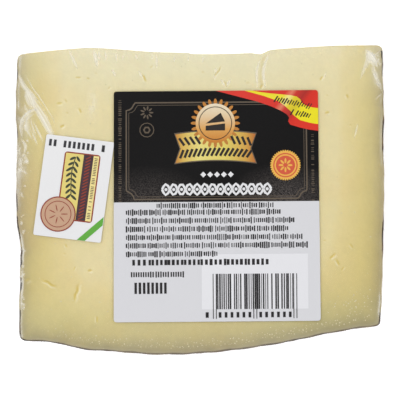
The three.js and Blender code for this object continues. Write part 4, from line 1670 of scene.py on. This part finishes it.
class CHEESE_OT_stage(bpy.types.Operator):
    """Sets up the pale floor, the soft lights and the camera square to the labelled cut face"""
    bl_idname = "cheese.stage"
    bl_label = "Stage"

    def execute(self, context):
        stage = settings(context)[3]
        scene = context.scene
        out, up, sensor_width = Vector(FACE_OUT), Vector(FACE_UP), 36
        aim = Vector(on_wheel(np.array(-MIDDLE_X), np.array(-stage.aim), WEDGE_ANGLE, 0).tolist())
        data = bpy.data.cameras.new("camera")
        data.lens, data.sensor_width = stage.lens, sensor_width
        data.clip_start, data.clip_end = 0.05, 50
        camera = bpy.data.objects.new("camera", data)
        scene.collection.objects.link(camera)
        turn = Matrix((Vector((1, 0, 0)), up, out)).transposed().to_4x4()
        away = stage.frame_width * stage.lens / sensor_width
        camera.matrix_world = Matrix.Translation(aim + out * away) @ turn
        scene.camera = camera

        half = stage.floor_size / 2
        floor = new_mesh("floor", [(x * half, y * half, -0.2 * MM)
                                   for x, y in ((-1, -1), (1, -1), (1, 1), (-1, 1))], [(0, 1, 2, 3)])
        pale, tree, shader = new_material("Pale floor", {
            "Roughness": 0.9, "Specular IOR Level": 0.1, "Emission Color": (1, 1, 1, 1),
            "Emission Strength": stage.floor_glow})
        cloud = noise(tree, object_place(tree), 3, 2)
        tree.links.new(mixed(tree, cloud, (0.93, 0.93, 0.93, 1), (0.95, 0.95, 0.95, 1)),
                       shader.inputs["Base Color"])
        floor.data.materials.append(pale)

        def soft_light(name, place, size, power):
            light = bpy.data.lights.new(name, "AREA")
            light.shape, light.size, light.energy = "DISK", size, power
            lamp = bpy.data.objects.new(name, light)
            lamp.location = aim + Vector(place)
            lamp.rotation_euler = (-Vector(place)).to_track_quat("-Z", "Y").to_euler()
            scene.collection.objects.link(lamp)

        soft_light("key_light", (-0.55, 0.75, 0.95), 0.7, stage.key_power)
        soft_light("fill_light", (0.85, -0.25, 0.9), 0.9, stage.fill_power)
        world = bpy.data.worlds.new("soft surroundings")
        world.use_nodes = True
        tree, sky = world.node_tree, world.node_tree.nodes["Background"]
        # The sky is bright all round and dark where the glossy labels would mirror it to the camera.
        height = put(tree, "ShaderNodeVectorMath", {
            0: put(tree, "ShaderNodeTexCoord", out="Generated"), 1: out[:]}, out="Value",
            operation="DOT_PRODUCT")
        stops = ((0.0, 1.0), (0.4, 1.0), (0.6, 0.83), (0.85, 0.29), (0.95, 0.08), (1.0, 0.04))
        tree.links.new(colour_ramp(tree, height, [(at, (level, level, level, 1)) for at, level in stops]),
                       sky.inputs["Color"])
        sky.inputs["Strength"].default_value = stage.world_strength
        scene.world = world
        scene.view_settings.view_transform = "Standard"
        return {"FINISHED"}


PIECES = (CHEESE_OT_wedge, CHEESE_OT_crystals, CHEESE_OT_film, CHEESE_OT_front_sheet,
          CHEESE_OT_front_colours, CHEESE_OT_front_marks, CHEESE_OT_sticker, CHEESE_OT_stage)


class CHEESE_PT_pieces(bpy.types.Panel):
    """Lists the pieces of the wrapped cheese"""
    bl_idname = "CHEESE_PT_pieces"
    bl_label = "Wrapped cheese wedge"
    bl_space_type = "VIEW_3D"
    bl_region_type = "UI"
    bl_category = "Cheese"

    def draw(self, context):
        for piece in PIECES:
            self.layout.operator(piece.bl_idname)
        for group in settings(context):
            box = self.layout.box()
            for key in group.bl_rna.properties.keys():
                if key not in ("rna_type", "name"):
                    box.prop(group, key)


GROUPS = {"cheese_body": CheeseSettings, "cheese_film": FilmSettings, "cheese_labels": LabelSettings,
          "cheese_stage": StageSettings}


def register():
    for kind in (*GROUPS.values(), *PIECES, CHEESE_PT_pieces):
        bpy.utils.register_class(kind)
    for name, kind in GROUPS.items():
        setattr(bpy.types.Scene, name, PointerProperty(type=kind))


def unregister():
    for name in GROUPS:
        delattr(bpy.types.Scene, name)
    for kind in (CHEESE_PT_pieces, *PIECES, *GROUPS.values()):
        bpy.utils.unregister_class(kind)


def main():
    register()
    for piece in PIECES:
        group, name = piece.bl_idname.split(".")
        getattr(getattr(bpy.ops, group), name)()
    bpy.context.view_layer.update()


if __name__ == "__main__":
    main()
